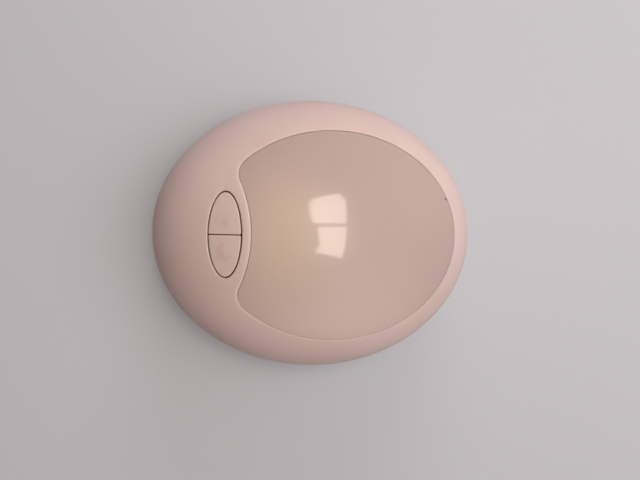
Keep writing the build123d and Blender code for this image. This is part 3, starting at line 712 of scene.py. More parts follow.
@dataclass
class Keys:
    """The oval pair of push keys, split across the middle, with their raised marks."""

    form: Pebble
    middle: float = -23.8
    half_x: float = 5.1
    half_y: float = 12.3
    gap: float = 0.4
    split: float = 0.27
    corner: float = 0.4
    round_over: float = 0.26
    sink: float = 0.05
    cap: float = 1.8
    wall: float = 1.0
    lip: float = 0.7
    lip_height: float = 1.2
    collar_foot: float = 32.6
    stem_radius: float = 1.8
    stem_foot: float = 35.1
    mark_height: float = 0.09
    samples: int = 240

    def opening(self) -> Outline:
        """The opening that both keys share.

        Returns:
            The oval's outline.
        """
        oval = Oval((self.middle, 0.0), self.half_x, self.half_y)
        return even(*oval.at(np.linspace(0, 2 * math.pi, 2000, endpoint=False)), self.samples)

    def half(self, side: int) -> Outline:
        """The outline of one key, with small rounded corners at the split.

        Args:
            side: 1 for the upper key, -1 for the lower one.

        Returns:
            The outline, evenly spaced.
        """
        oval = Oval((self.middle, 0.0), self.half_x - self.gap, self.half_y - self.gap)

        def corner_middle(angle: float) -> Points:
            point, normal = oval.at(angle)
            return (point - self.corner * normal)[0]

        line = self.split / 2
        turn = solve(lambda a: float(corner_middle(a)[1]) - line - self.corner, 0.0, math.pi / 2)
        right = corner_middle(turn)
        left = np.array([2 * self.middle - right[0], right[1]])
        _, leaving = oval.at(turn)
        first = math.atan2(leaving[0, 1], leaving[0, 0])
        straight = np.column_stack([np.linspace(left[0], right[0], 300), np.full(300, line)])
        parts = [
            oval.at(np.linspace(turn, math.pi - turn, 1500)),
            arc(left, self.corner, math.pi - first, 1.5 * math.pi, 1, 60),
            (straight, np.tile((0.0, -1.0), (300, 1))),
            arc(right, self.corner, -math.pi / 2, first, 1, 60),
        ]
        points, normals = np.vstack([p for p, _ in parts]), np.vstack([n for _, n in parts])
        if side < 0:
            points, normals = points[::-1] * (1, -1), normals[::-1] * (1, -1)
        return even(points, normals, self.samples)

    def build(self, name: str, side: int) -> bpy.types.Object:
        """Build one key: a capped hollow shell with a holding lip at its foot and a stem for the switch.

        Args:
            name: the piece's name.
            side: 1 for the upper key, -1 for the lower one.

        Returns:
            The key.
        """
        outline = self.half(side)
        middle = (self.middle, side * (self.half_y - self.gap) * 0.45)
        shell = Shell()

        def moved(distance: float) -> Points:
            plan = outline.moved(distance)
            if distance > 0:
                plan[:, 1] = side * np.maximum(side * plan[:, 1], self.split / 2)
            return plan

        top = rings(shell, moved(-self.round_over), middle,
                    lambda plan: self.form.height_at(plan) - self.sink, 22, 1.3)
        loops = [top[0]]
        for out, down in rounded_edge(6)[1:]:
            plan = moved(-self.round_over * out)
            loops.append(shell.points(plan, self.form.height_at(plan) - self.sink - self.round_over * down))
        foot = self.collar_foot - self.lip_height
        for offset, height in ((0.0, self.collar_foot), (self.gap + self.lip, self.collar_foot),
                               (self.gap + self.lip, foot), (-self.wall, foot)):
            loops.append(shell.points(moved(offset), height))
        inside = rings(shell, moved(-self.wall), middle,
                       lambda plan: self.form.height_at(plan, self.cap), 8)
        shell.chain([*loops, inside[0]])
        self.stem(shell, side)
        return shell.build(name)

    def stem(self, shell: Shell, side: int) -> None:
        """Add the round stem that meets the switch, running up into the cap.

        Args:
            shell: the key's mesh.
            side: 1 for the upper key, -1 for the lower one.
        """
        angle = np.linspace(0, 2 * math.pi, 32, endpoint=False)
        centre = np.array([self.middle, side * self.half_y / 2])
        plan = centre + self.stem_radius * np.column_stack([np.cos(angle), np.sin(angle)])
        low = shell.points(plan, self.stem_foot)
        high = shell.points(plan, self.form.height_at(plan, self.cap / 2))
        shell.strip(low, high)
        shell.close(low, (*centre, self.stem_foot))
        shell.close(high, (*centre, float(self.form.height_at(centre.reshape(1, 2), self.cap / 2)[0])))

    def mark(self, name: str, outline: Outline) -> bpy.types.Object:
        """Raise a small flat mark on a key.

        Args:
            name: the piece's name.
            outline: the mark's outline.

        Returns:
            The mark.
        """
        shell = Shell()
        centre = outline.points.mean(axis=0)
        low = shell.points(outline.points, self.form.height_at(outline.points) - 3 * self.sink)
        rim = outline.moved(0.0)
        high = shell.points(rim, self.form.height_at(rim) - self.sink + self.mark_height)
        shell.strip(low, high)
        for loop, lift in ((high, self.mark_height - self.sink), (low, -3 * self.sink)):
            half = len(loop) // 2
            spans = [(int(loop[i]), int(loop[i + 1]), int(loop[-i - 2]), int(loop[-i - 1]))
                     for i in range(half - 1)]
            shell.faces += spans
        return shell.build(name, 30.0)

    def crescent(self, at: tuple[float, float], radius: float, turned: float) -> Outline:
        """A crescent: an outer arc and a shallower inner one.

        Args:
            at: the middle of the outer arc.
            radius: its radius.
            turned: the way that its back faces, in radians.

        Returns:
            The outline, its first and last points at one tip.
        """
        opening = math.radians(128)
        outer = turned + np.linspace(-opening, opening, 24)
        ring = np.column_stack([np.cos(outer), np.sin(outer)]) * radius
        shift = radius * 0.62
        inner_radius = math.hypot(radius * math.cos(opening) + shift, radius * math.sin(opening))
        inner_opening = math.atan2(radius * math.sin(opening), radius * math.cos(opening) + shift)
        inner = turned + np.linspace(inner_opening, -inner_opening, 24)
        inside = (np.column_stack([np.cos(inner), np.sin(inner)]) * inner_radius
                  - shift * np.array([math.cos(turned), math.sin(turned)]))
        points = np.vstack([ring, inside[1:-1]]) + at
        return Outline(points, np.zeros_like(points))


@dataclass
class TopHousing:
    """The domed upper housing: one thin shell with a lens opening, a key collar and a lip recess."""

    form: Pebble
    lens: Lens
    keys: Keys
    wall: float = 2.2
    lens_margin: float = 1.25
    lens_round: float = 0.42
    lens_drop: float = 0.3
    notch_round: float = 1.15
    notch_from: float = -10.0
    collar_wall: float = 1.0
    key_round: float = 0.3
    parting_round: float = 0.3
    recess_height: float = 1.3
    recess_fit: float = 0.1
    keep_plan: float = 0.885
    spacing: float = 0.0135
    girth_samples: int = 440

    def to_plane(self, plan: Points) -> Points:
        """Spread plan points so that the steep flank gets as many as the crown."""
        t = self.form.parameter(self.form.share_at(plan))
        angle = np.arctan2(plan[:, 1] / self.form.half_width, plan[:, 0] / self.form.half_length)
        return np.column_stack([t * np.cos(angle), t * np.sin(angle)])

    def inner_plan(self, plane: Points, end_ratio: float, outer_end: float) -> Points:
        """Plan places of the inner skin: straight below the outer one, and along the flank near the girth.

        Args:
            plane: the spread points.
            end_ratio: the inner skin's share at its lowest loop.
            outer_end: the outer skin's share at its lowest loop.

        Returns:
            Plan points in mm.
        """
        t = np.hypot(plane[:, 0], plane[:, 1])
        ratio = self.form.ratio(t)
        turn = plane / np.maximum(t, 1e-9)[:, None]
        inner = np.array([self.form.half_length - self.wall, self.form.half_width - self.wall])
        outer = np.array([self.form.half_length, self.form.half_width])
        way = turn * outer / inner
        grow = np.linalg.norm(way, axis=1)
        flank = np.clip((ratio - self.keep_plan) / (outer_end - self.keep_plan), 0, 1)
        kept = np.minimum(ratio, self.keep_plan) * grow
        share = kept + flank * (end_ratio - kept)
        return way / np.maximum(grow, 1e-9)[:, None] * share[:, None] * inner

    def build(self) -> bpy.types.Object:
        """Build the upper housing as one closed mesh.

        Returns:
            The upper housing.
        """
        lens, key = self.lens.outline(), self.keys.opening()
        notch = np.clip((self.notch_from - lens.points[:, 0]) / 4.0, 0, 1)
        notch = notch * notch * (3 - 2 * notch)
        lens_round = self.lens_round + (self.notch_round - self.lens_round) * notch
        table = np.linspace(0, 1, 20001)
        lowest = self.form.girth + 2 * self.parting_round
        t_end = float(np.interp(2 * self.parting_round / self.form.dome, self.form.rise(table)[::-1], table[::-1]))
        holes = [lens.moved(self.lens_margin), key.moved(self.collar_wall)]
        plane, triangles, loops = self.triangulate([self.to_plane(h) for h in holes], t_end)

        shell = Shell()
        t = np.hypot(plane[:, 0], plane[:, 1])
        ratio = self.form.ratio(t)
        plan = plane / np.maximum(t, 1e-9)[:, None] * ratio[:, None]
        plan = plan * (self.form.half_length, self.form.half_width)
        outer = shell.points(plan, self.form.girth + self.form.dome * self.form.rise(t))
        inner_form = Pebble(self.form.half_length - self.wall, self.form.half_width - self.wall,
                            self.form.girth, self.form.dome - self.wall, self.form.full)
        t_inner = float(np.interp(self.recess_height / inner_form.dome, inner_form.rise(table)[::-1], table[::-1]))
        below = self.inner_plan(plane, float(inner_form.ratio(np.array(t_inner))), float(self.form.ratio(np.array(t_end))))
        inner = shell.points(below, self.form.height_at(below, self.wall))
        for skin in (outer, inner):
            shell.faces += [tuple(int(skin[i]) for i in tri) for tri in triangles]

        self.lens_edge(shell, lens, lens_round, outer[loops[0]], inner[loops[0]])
        self.key_collar(shell, key, outer[loops[1]], inner[loops[1]])
        self.girth_rim(shell, lowest, plane[loops[2]], outer[loops[2]], inner[loops[2]])
        return shell.build("upper_housing", 42.0)

    def triangulate(self, holes: list[Points], t_end: float) -> tuple[Points, list, list[np.ndarray]]:
        """Fill the spread plane with even triangles between the girth and the openings.

        Args:
            holes: the openings' loops on the spread plane.
            t_end: the radius of the girth's loop there.

        Returns:
            The points, the triangles, and the loops' numbers with the girth's last.
        """
        angle = np.linspace(0, 2 * math.pi, self.girth_samples, endpoint=False)
        loops = [*holes, t_end * np.column_stack([np.cos(angle), np.sin(angle)])]
        inside = []
        for row, radius in enumerate(np.arange(self.spacing / 2, t_end - self.spacing * 0.6, self.spacing)):
            count = max(6, round(2 * math.pi * radius / self.spacing))
            around = (np.arange(count) + 0.5 * (row % 2)) * 2 * math.pi / count
            inside.append(radius * np.column_stack([np.cos(around), np.sin(around)]))
        free = np.vstack(inside)
        for hole in holes:
            free = free[~within(free, hole)]
        for loop in loops:
            near = np.min(np.linalg.norm(free[:, None, :] - loop[None, :, :], axis=2), axis=1)
            free = free[near > 0.55 * self.spacing]
        every = np.vstack([*loops, free])
        edges, first = [], 0
        for loop in loops:
            edges += [(first + i, first + (i + 1) % len(loop)) for i in range(len(loop))]
            first += len(loop)
        made = delaunay_2d_cdt([Vector(p) for p in every], edges, [], 0, 1e-7)
        points = np.array([tuple(v) for v in made[0]])
        numbers = {source: number for number, sources in enumerate(made[3]) for source in sources}
        corners = np.array(made[2])
        centres = points[corners].mean(axis=1)
        kept = np.ones(len(corners), bool)
        for hole in holes:
            kept &= ~within(centres, hole)
        named, first = [], 0
        for loop in loops:
            named.append(np.array([numbers[first + i] for i in range(len(loop))]))
            first += len(loop)
        return points, corners[kept].tolist(), named

    def lens_edge(self, shell: Shell, lens: Outline, depth: Points, outer: np.ndarray, inner: np.ndarray) -> None:
        """Round the housing over into the lens opening, softly along the notch.

        Args:
            shell: the housing's mesh.
            lens: the opening's outline.
            depth: the rounding's reach at each point.
            outer: the outer skin's loop.
            inner: the inner skin's loop.
        """
        loops = [outer]
        for out, down in rounded_edge(8):
            plan = lens.moved(depth * out)
            loops.append(shell.points(plan, self.form.height_at(plan) - self.lens_drop * down))
        plan = lens.moved(0.0)
        loops.append(shell.points(plan, self.form.height_at(plan, self.wall)))
        shell.chain([*loops, inner])

    def key_collar(self, shell: Shell, key: Outline, outer: np.ndarray, inner: np.ndarray) -> None:
        """Round the housing over into the key opening and carry its wall down as a collar.

        Args:
            shell: the housing's mesh.
            key: the opening's outline.
            outer: the outer skin's loop.
            inner: the inner skin's loop.
        """
        loops = [outer]
        for out, down in rounded_edge(6):
            plan = key.moved(self.key_round * out)
            loops.append(shell.points(plan, self.form.height_at(plan) - self.key_round * down))
        loops.append(shell.points(key.moved(0.0), self.keys.collar_foot))
        loops.append(shell.points(key.moved(self.collar_wall), self.keys.collar_foot))
        shell.chain([*loops, inner])

    def girth_rim(self, shell: Shell, lowest: float, plane: Points, outer: np.ndarray, inner: np.ndarray) -> None:
        """Round the lower edge into the parting line and cut the recess for the base's lip.

        Args:
            shell: the housing's mesh.
            lowest: the outer skin's lowest height; not used.
            plane: the girth's loop on the spread plane.
            outer: the outer skin's loop.
            inner: the inner skin's loop.
        """
        turn = plane / np.linalg.norm(plane, axis=1, keepdims=True)

        def girth(inset: float) -> Points:
            return turn * (self.form.half_length - inset, self.form.half_width - inset)

        depth = self.parting_round
        loops = [outer]
        for out, down in rounded_edge(6):
            loops.append(shell.points(girth(depth * (1 - math.sqrt(max(0.0, 1 - down * down)))),
                                      self.form.girth + depth * out + 0.02))
        lip = self.wall / 2
        loops.append(shell.points(girth(lip), self.form.girth + 0.02))
        loops.append(shell.points(girth(lip), self.form.girth + self.recess_height))
        shell.chain([*loops, inner])


def within(points: Points, loop: Points) -> np.ndarray:
    """Which points lie inside a closed loop.

    Args:
        points: the points to test.
        loop: the loop's points, in order.

    Returns:
        One flag for each point.
    """
    inside = np.zeros(len(points), bool)
    for (ax, ay), (bx, by) in zip(loop, np.roll(loop, -1, axis=0)):
        crosses = (ay > points[:, 1]) != (by > points[:, 1])
        with np.errstate(divide="ignore", invalid="ignore"):
            at = ax + (points[:, 1] - ay) * (bx - ax) / (by - ay)
        inside ^= crosses & (points[:, 0] < at)
    return inside


def merged_copy(node: str, name: str, sharp: float) -> bpy.types.Object:
    """Copy a CAD node's mesh, merge its loose triangles and shade it smooth up to an angle.

    Args:
        node: the CAD node.
        name: the new piece's name.
        sharp: edges steeper than this many degrees stay sharp.

    Returns:
        The new piece.
    """
    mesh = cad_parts[node].data.copy()
    mesh.name = name
    work = bmesh.new()
    work.from_mesh(mesh)
    bmesh.ops.remove_doubles(work, verts=work.verts, dist=0.002 * MM)
    bmesh.ops.dissolve_limit(work, verts=work.verts, edges=work.edges, angle_limit=math.radians(0.05))
    work.to_mesh(mesh)
    work.free()
    mesh.shade_smooth()
    mesh.set_sharp_from_angle(angle=math.radians(sharp))
    piece = bpy.data.objects.new(name, mesh)
    bpy.context.scene.collection.objects.link(piece)
    # The large flat faces keep their own normal, and the bend lies in the narrow fillets
    weigh = piece.modifiers.new("flat_faces_first", "WEIGHTED_NORMAL")
    weigh.mode, weigh.weight, weigh.keep_sharp = "FACE_AREA", 50, True
    piece.data = bpy.data.meshes.new_from_object(piece.evaluated_get(bpy.context.evaluated_depsgraph_get()))
    piece.modifiers.clear()
    return piece


@dataclass
class BaseHousing:
    """The lower housing: the CAD's own shell, with the true normals of its bowl."""

    half_length: float
    half_width: float
    girth: float
    floor: float
    flat: float = 36.0
    full: float = 0.58
    near: float = 0.12

    def build(self) -> bpy.types.Object:
        """Build the lower housing.

        Returns:
            The lower housing.
        """
        piece = merged_copy("base_housing", "lower_housing", 28.0)
        mesh = piece.data
        normals = np.zeros(len(mesh.loops) * 3, np.float32)
        mesh.corner_normals.foreach_get("vector", normals)
        normals = normals.reshape(-1, 3)
        corners = np.zeros(len(mesh.loops), np.int32)
        mesh.loops.foreach_get("vertex_index", corners)
        places = np.array([v.co for v in mesh.vertices])[corners] / MM

        t = np.linspace(0, 1, 8001)
        reach, flat, rise = self.half_length, self.flat, self.floor - self.girth
        out = (reach * (1 - t) ** 3 + 3 * reach * (1 - t) ** 2 * t
               + 3 * (flat + self.full * (reach - flat)) * (1 - t) * t ** 2 + flat * t ** 3)
        down = self.girth + rise * (3 * self.full * (1 - t) ** 2 * t + 3 * (1 - t) * t ** 2 + t ** 3)
        share = np.hypot(places[:, 0] / reach, places[:, 1] / self.half_width)
        at = np.interp(-places[:, 2], -down, t)
        gap = np.abs(share * reach - np.interp(at, t, out))
        fall = -np.interp(at, t, np.gradient(down, t))
        grow = np.interp(at, t, np.gradient(out / reach, t))
        true = np.column_stack([
            places[:, 0] / reach ** 2 / np.maximum(share, 1e-6) * fall,
            places[:, 1] / self.half_width ** 2 / np.maximum(share, 1e-6) * fall,
            grow,
        ])
        true /= np.maximum(np.linalg.norm(true, axis=1, keepdims=True), 1e-12)
        starts, totals = (np.array([getattr(face, side) for face in mesh.polygons])
                          for side in ("loop_start", "loop_total"))
        own = np.repeat(np.array([face.normal for face in mesh.polygons]), totals, axis=0)
        on_bowl = (gap < self.near) & (np.einsum("ij,ij->i", own, true) > 0.96)
        chosen = np.repeat(np.logical_and.reduceat(on_bowl, starts), totals)
        normals[chosen] = true[chosen]
        mesh.normals_split_custom_set(normals.tolist())
        return piece


class Repeats:
    """Builds a geometry tree with named inputs and turns what it makes into a plain mesh."""

    def __init__(self, name: str, sizes: dict[str, float]) -> None:
        """Start the tree with its places, named sizes and finish.

        Args:
            name: the tree's name.
            sizes: the named sizes in mm.
        """
        self.sizes = sizes
        self.tree = bpy.data.node_groups.new(name, "GeometryNodeTree")
        face = self.tree.interface
        face.new_socket("Places", in_out="INPUT", socket_type="NodeSocketGeometry")
        for size in sizes:
            face.new_socket(size, in_out="INPUT", socket_type="NodeSocketFloat")
        face.new_socket("Finish", in_out="INPUT", socket_type="NodeSocketMaterial")
        face.new_socket("Pieces", in_out="OUTPUT", socket_type="NodeSocketGeometry")
        self.given = add_node(self.tree, "NodeGroupInput").outputs

    def add(self, kind: str, inputs: Optional[dict] = None, out: Any = 0, **settings: Any) -> bpy.types.NodeSocket:
        """Add a node of any kind to the tree.

        Args:
            kind: the node's type name.
            inputs: its inputs, as add_node takes them.
            out: which of its outputs is wanted, by name or number.
            settings: the node's own options.

        Returns:
            The wanted output.
        """
        return add_node(self.tree, kind, inputs, **settings).outputs[out]

    def make(self, piece: bpy.types.NodeSocket, name: str, places: Sequence[Sequence[float]], finish: Finish,
             sharp: float = 35.0) -> bpy.types.Object:
        """Put the piece at each place, realise it and hand it back as one plain mesh.

        Args:
            piece: the geometry that repeats.
            name: the new object's name.
            places: where it stands, in mm.
            finish: its finish.
            sharp: edges steeper than this many degrees stay sharp.

        Returns:
            The new object.
        """
        dots = self.add("GeometryNodeMeshToPoints", {"Mesh": self.given["Places"]})
        set_out = self.add("GeometryNodeInstanceOnPoints", {"Points": dots, "Instance": piece})
        whole = self.add("GeometryNodeRealizeInstances", {"Geometry": set_out})
        dressed = self.add("GeometryNodeSetMaterial", {"Geometry": whole, "Material": self.given["Finish"]})
        add_node(self.tree, "NodeGroupOutput", {"Pieces": dressed})

        start = bpy.data.meshes.new(f"{name}_places")
        start.from_pydata([tuple(c * MM for c in place) for place in places], [], [])
        host = bpy.data.objects.new(f"{name}_host", start)
        bpy.context.scene.collection.objects.link(host)
        modifier = host.modifiers.new("repeats", "NODES")
        modifier.node_group = self.tree
        for item in self.tree.interface.items_tree:
            if item.item_type == "SOCKET" and item.in_out == "INPUT" and item.name in self.sizes:
                modifier[item.identifier] = self.sizes[item.name] * MM
            elif item.item_type == "SOCKET" and item.name == "Finish":
                modifier[item.identifier] = finish.material()
        graph = bpy.context.evaluated_depsgraph_get()
        mesh = bpy.data.meshes.new_from_object(host.evaluated_get(graph), depsgraph=graph)
        host.modifiers.remove(modifier)
        bpy.data.objects.remove(host)
        mesh.name = name
        return finish_mesh(mesh, name, sharp)


def tube(tree: Repeats, outer: bpy.types.NodeSocket, bore: bpy.types.NodeSocket,
         height: bpy.types.NodeSocket, sides: int) -> bpy.types.NodeSocket:
    """A round tube standing on its middle.

    Args:
        tree: the tree.
        outer: its outer radius.
        bore: its bore's radius.
        height: its height.
        sides: how many sides it has.

    Returns:
        The tube's mesh.
    """
    wall = tree.add("ShaderNodeMath", {0: outer, 1: bore}, operation="SUBTRACT")
    middle = tree.add("ShaderNodeMath", {0: wall, 1: 0.5, 2: bore}, operation="MULTIPLY_ADD")
    path = tree.add("GeometryNodeCurvePrimitiveCircle", {"Resolution": sides, "Radius": middle})
    section = tree.add("GeometryNodeCurvePrimitiveQuadrilateral", {"Width": wall, "Height": height})
    return tree.add("GeometryNodeCurveToMesh", {"Curve": path, "Profile Curve": section, "Fill Caps": False})


@dataclass
class Fasteners:
    """Screws, their bosses and the brass insert."""

    boss_radius: float = 2.5
    board_places: tuple = ((0.0, 33.6), (0.0, -33.6), (-34.0, 0.0))
    housing_places: tuple = ((30.0, 28.0), (30.0, -28.0), (-30.0, 28.0), (-30.0, -28.0))

    def screws(self, name: str, places: Sequence[Sequence[float]], head: float, head_height: float,
               shank: float, length: float) -> bpy.types.Object:
        """Pan head screws with a cross recess, their heads below their seats.

        Args:
            name: the piece's name.
            places: the middle of each seat, in mm.
            head: the head's radius.
            head_height: its height.
            shank: the shank's radius.
            length: the shank's length.

        Returns:
            The screws.
        """
        tree = Repeats("PanHeadScrews", {"Head Radius": head, "Head Height": head_height,
                                         "Shank Radius": shank, "Shank Length": length})
        given = tree.given
        rim, reach, width = (tree.add("ShaderNodeMath", {0: given["Head Radius"], 1: share}, operation="MULTIPLY")
                             for share in (0.78, 1.1, 0.3))
        # One arm is a little lower than the other, because arms that end in one plane tear the cut open
        lower = tree.add("ShaderNodeMath", {0: given["Head Height"], 1: 0.94}, operation="MULTIPLY")
        pan = tree.add("GeometryNodeMeshCone", {"Vertices": 40, "Radius Top": given["Head Radius"],
                                                "Radius Bottom": rim, "Depth": given["Head Height"]})
        sizes = [tree.add("ShaderNodeCombineXYZ", {"X": x, "Y": y, "Z": z})
                 for x, y, z in ((reach, width, given["Head Height"]), (width, reach, lower))]
        arms = [tree.add("GeometryNodeMeshCube", {"Size": size}) for size in sizes]
        cross = tree.add("GeometryNodeMeshBoolean", {"Mesh 2": arms}, operation="UNION")
        rod = tree.add("GeometryNodeMeshCylinder", {"Vertices": 28, "Radius": given["Shank Radius"],
                                                    "Depth": given["Shank Length"]})
        placed = []
        for mesh, size, share in ((pan, "Head Height", -1.0), (cross, "Head Height", -1.1),
                                  (rod, "Shank Length", 0.5)):
            rise = tree.add("ShaderNodeMath", {0: given[size], 1: share}, operation="MULTIPLY")
            shift = tree.add("ShaderNodeCombineXYZ", {"Z": rise})
            placed.append(tree.add("GeometryNodeTransform", {"Geometry": mesh, "Translation": shift}))
        cut = tree.add("GeometryNodeMeshBoolean", {"Mesh 1": placed[0], "Mesh 2": placed[1]},
                       operation="DIFFERENCE")
        whole = tree.add("GeometryNodeJoinGeometry", {0: [cut, placed[2]]})
        return tree.make(whole, name, places, ZINC_STEEL)

    def bosses(self, name: str, places: Sequence[Sequence[float]], bore: float, height: float,
               finish: Finish) -> bpy.types.Object:
        """Round screw bosses that stand in the upper housing.

        Args:
            name: the piece's name.
            places: the middle of each boss, in mm.
            bore: the radius of the screw's hole.
            height: the boss's height.
            finish: its finish.

        Returns:
            The bosses.
        """
        tree = Repeats("ScrewBosses", {"Radius": self.boss_radius, "Bore": bore, "Height": height})
        given = tree.given
        ring = tube(tree, given["Radius"], given["Bore"], given["Height"], 36)
        return tree.make(ring, name, places, finish)

    def insert(self, name: str, place: Sequence[float], radius: float, bore: float,
               height: float) -> bpy.types.Object:
        """The knurled insert: a tube whose outside follows a row of ridges.

        Args:
            name: the piece's name.
            place: the insert's middle, in mm.
            radius: its outer radius.
            bore: its bore's radius.
            height: its height.

        Returns:
            The insert.
        """
        tree = Repeats("KnurledInsert", {"Radius": radius, "Bore": bore, "Height": height, "Ridge": 0.14})
        given = tree.given
        ring = tube(tree, given["Radius"], given["Bore"], given["Height"], 144)
        here = tree.add("GeometryNodeInputPosition")
        flat = tree.add("ShaderNodeVectorMath", {0: here, 1: (1.0, 1.0, 0.0)}, operation="MULTIPLY")
        parts = {axis: tree.add("ShaderNodeSeparateXYZ", {0: here}, axis) for axis in "XY"}
        angle = tree.add("ShaderNodeMath", {0: parts["Y"], 1: parts["X"]}, operation="ARCTAN2")
        turns = tree.add("ShaderNodeMath", {0: angle, 1: 36.0}, operation="MULTIPLY")
        wave = tree.add("ShaderNodeMath", {0: turns}, operation="COSINE")
        dip = tree.add("ShaderNodeMath", {0: wave, 1: 0.5, 2: -0.5}, operation="MULTIPLY_ADD")
        depth = tree.add("ShaderNodeMath", {0: dip, 1: given["Ridge"]}, operation="MULTIPLY")
        edge = tree.add("ShaderNodeMath", {0: given["Radius"], 1: 0.95}, operation="MULTIPLY")
        reach = tree.add("ShaderNodeVectorMath", {0: flat}, "Value", operation="LENGTH")
        outside = tree.add("ShaderNodeMath", {0: reach, 1: edge}, operation="GREATER_THAN")
        amount = tree.add("ShaderNodeMath", {0: depth, 1: outside}, operation="MULTIPLY")
        away = tree.add("ShaderNodeVectorMath", {0: flat}, operation="NORMALIZE")
        push = tree.add("ShaderNodeVectorMath", {0: away, "Scale": amount}, operation="SCALE")
        shaped = tree.add("GeometryNodeSetPosition", {"Geometry": ring, "Offset": push})
        return tree.make(shaped, name, [place], TURNED_BRASS)


@dataclass
class Feet:
    """Four soft feet, each with two grip rings cut into its sole."""

    places: tuple = ((17.0, 23.4), (-17.0, 23.4), (17.0, -23.4), (-17.0, -23.4))
    radius: float = 3.5
    height: float = 1.8
    steps: tuple = ((1.0, 1.45), (0.95, 0.2), (0.92, 0.15), (0.84, 0.0), (0.93, -0.3), (0.8, 0.0), (0.93, 0.3),
                    (0.72, 0.0), (0.88, -0.3), (0.55, 0.0), (0.8, 0.3))

    def build(self, name: str, place: Sequence[float]) -> bpy.types.Object:
        """Build one foot by pushing a disc down ring after ring.

        Args:
            name: the piece's name.
            place: the foot's plan place, in mm.

        Returns:
            The foot.
        """
        tree = Repeats("RingedFoot", {"Radius": self.radius, "Depth Unit": 1.0})
        given = tree.given
        disc = tree.add("GeometryNodeMeshCircle", {"Vertices": 48, "Radius": given["Radius"]}, fill_type="NGON")
        lid = tree.add("GeometryNodeFlipFaces", {"Mesh": disc})
        down = tree.add("ShaderNodeCombineXYZ", {"Z": -1.0})
        sole = disc
        picked: Any = True
        for share, drop in self.steps:
            depth = tree.add("ShaderNodeMath", {0: given["Depth Unit"], 1: drop}, operation="MULTIPLY")
            grown = tree.add("GeometryNodeExtrudeMesh", {
                "Mesh": sole, "Selection": picked, "Offset": down, "Offset Scale": depth, "Individual": False,
            })
            picked = grown.node.outputs["Top"]
            sole = tree.add("GeometryNodeScaleElements", {"Geometry": grown, "Selection": picked, "Scale": share})
        both = tree.add("GeometryNodeJoinGeometry", {0: [sole, lid]})
        closed = tree.add("GeometryNodeMergeByDistance", {"Geometry": both, "Distance": 0.001 * MM})
        return tree.make(closed, name, [(*place, self.height)], RUBBER)


@dataclass
class Board:
    """What sits on the circuit board: solder joints beside the emitters and the switches."""

    top: float = 25.6
    emitters: tuple = ((-3.5, 0.0), (9.0, 11.0), (9.0, -11.0), (21.5, 0.0))
    switches: tuple = ((-23.8, 6.15), (-23.8, -6.15))
    emitter_reach: float = 2.8
    switch_reach: float = 3.5

    def places(self) -> list[tuple[float, float, float]]:
        """Where the joints lie, in mm."""
        found = [(x + sx * self.emitter_reach, y + sy * 1.5, self.top)
                 for x, y in self.emitters for sx in (-1, 1) for sy in (-1, 1)]
        found += [(x + sx * self.switch_reach, y + sy * 2.2, self.top)
                  for x, y in self.switches for sx in (-1, 1) for sy in (-1, 1)]
        return found

    def joints(self, name: str) -> bpy.types.Object:
        """Build the solder joints as low domes.

        Args:
            name: the piece's name.

        Returns:
            The joints.
        """
        tree = Repeats("SolderJoints", {"Radius": 0.3})
        ball = tree.add("GeometryNodeMeshUVSphere", {"Segments": 14, "Rings": 8, "Radius": tree.given["Radius"]})
        low = tree.add("GeometryNodeTransform", {"Geometry": ball, "Scale": (1.0, 1.3, 0.55)})
        return tree.make(low, name, self.places(), ZINC_STEEL, 60.0)


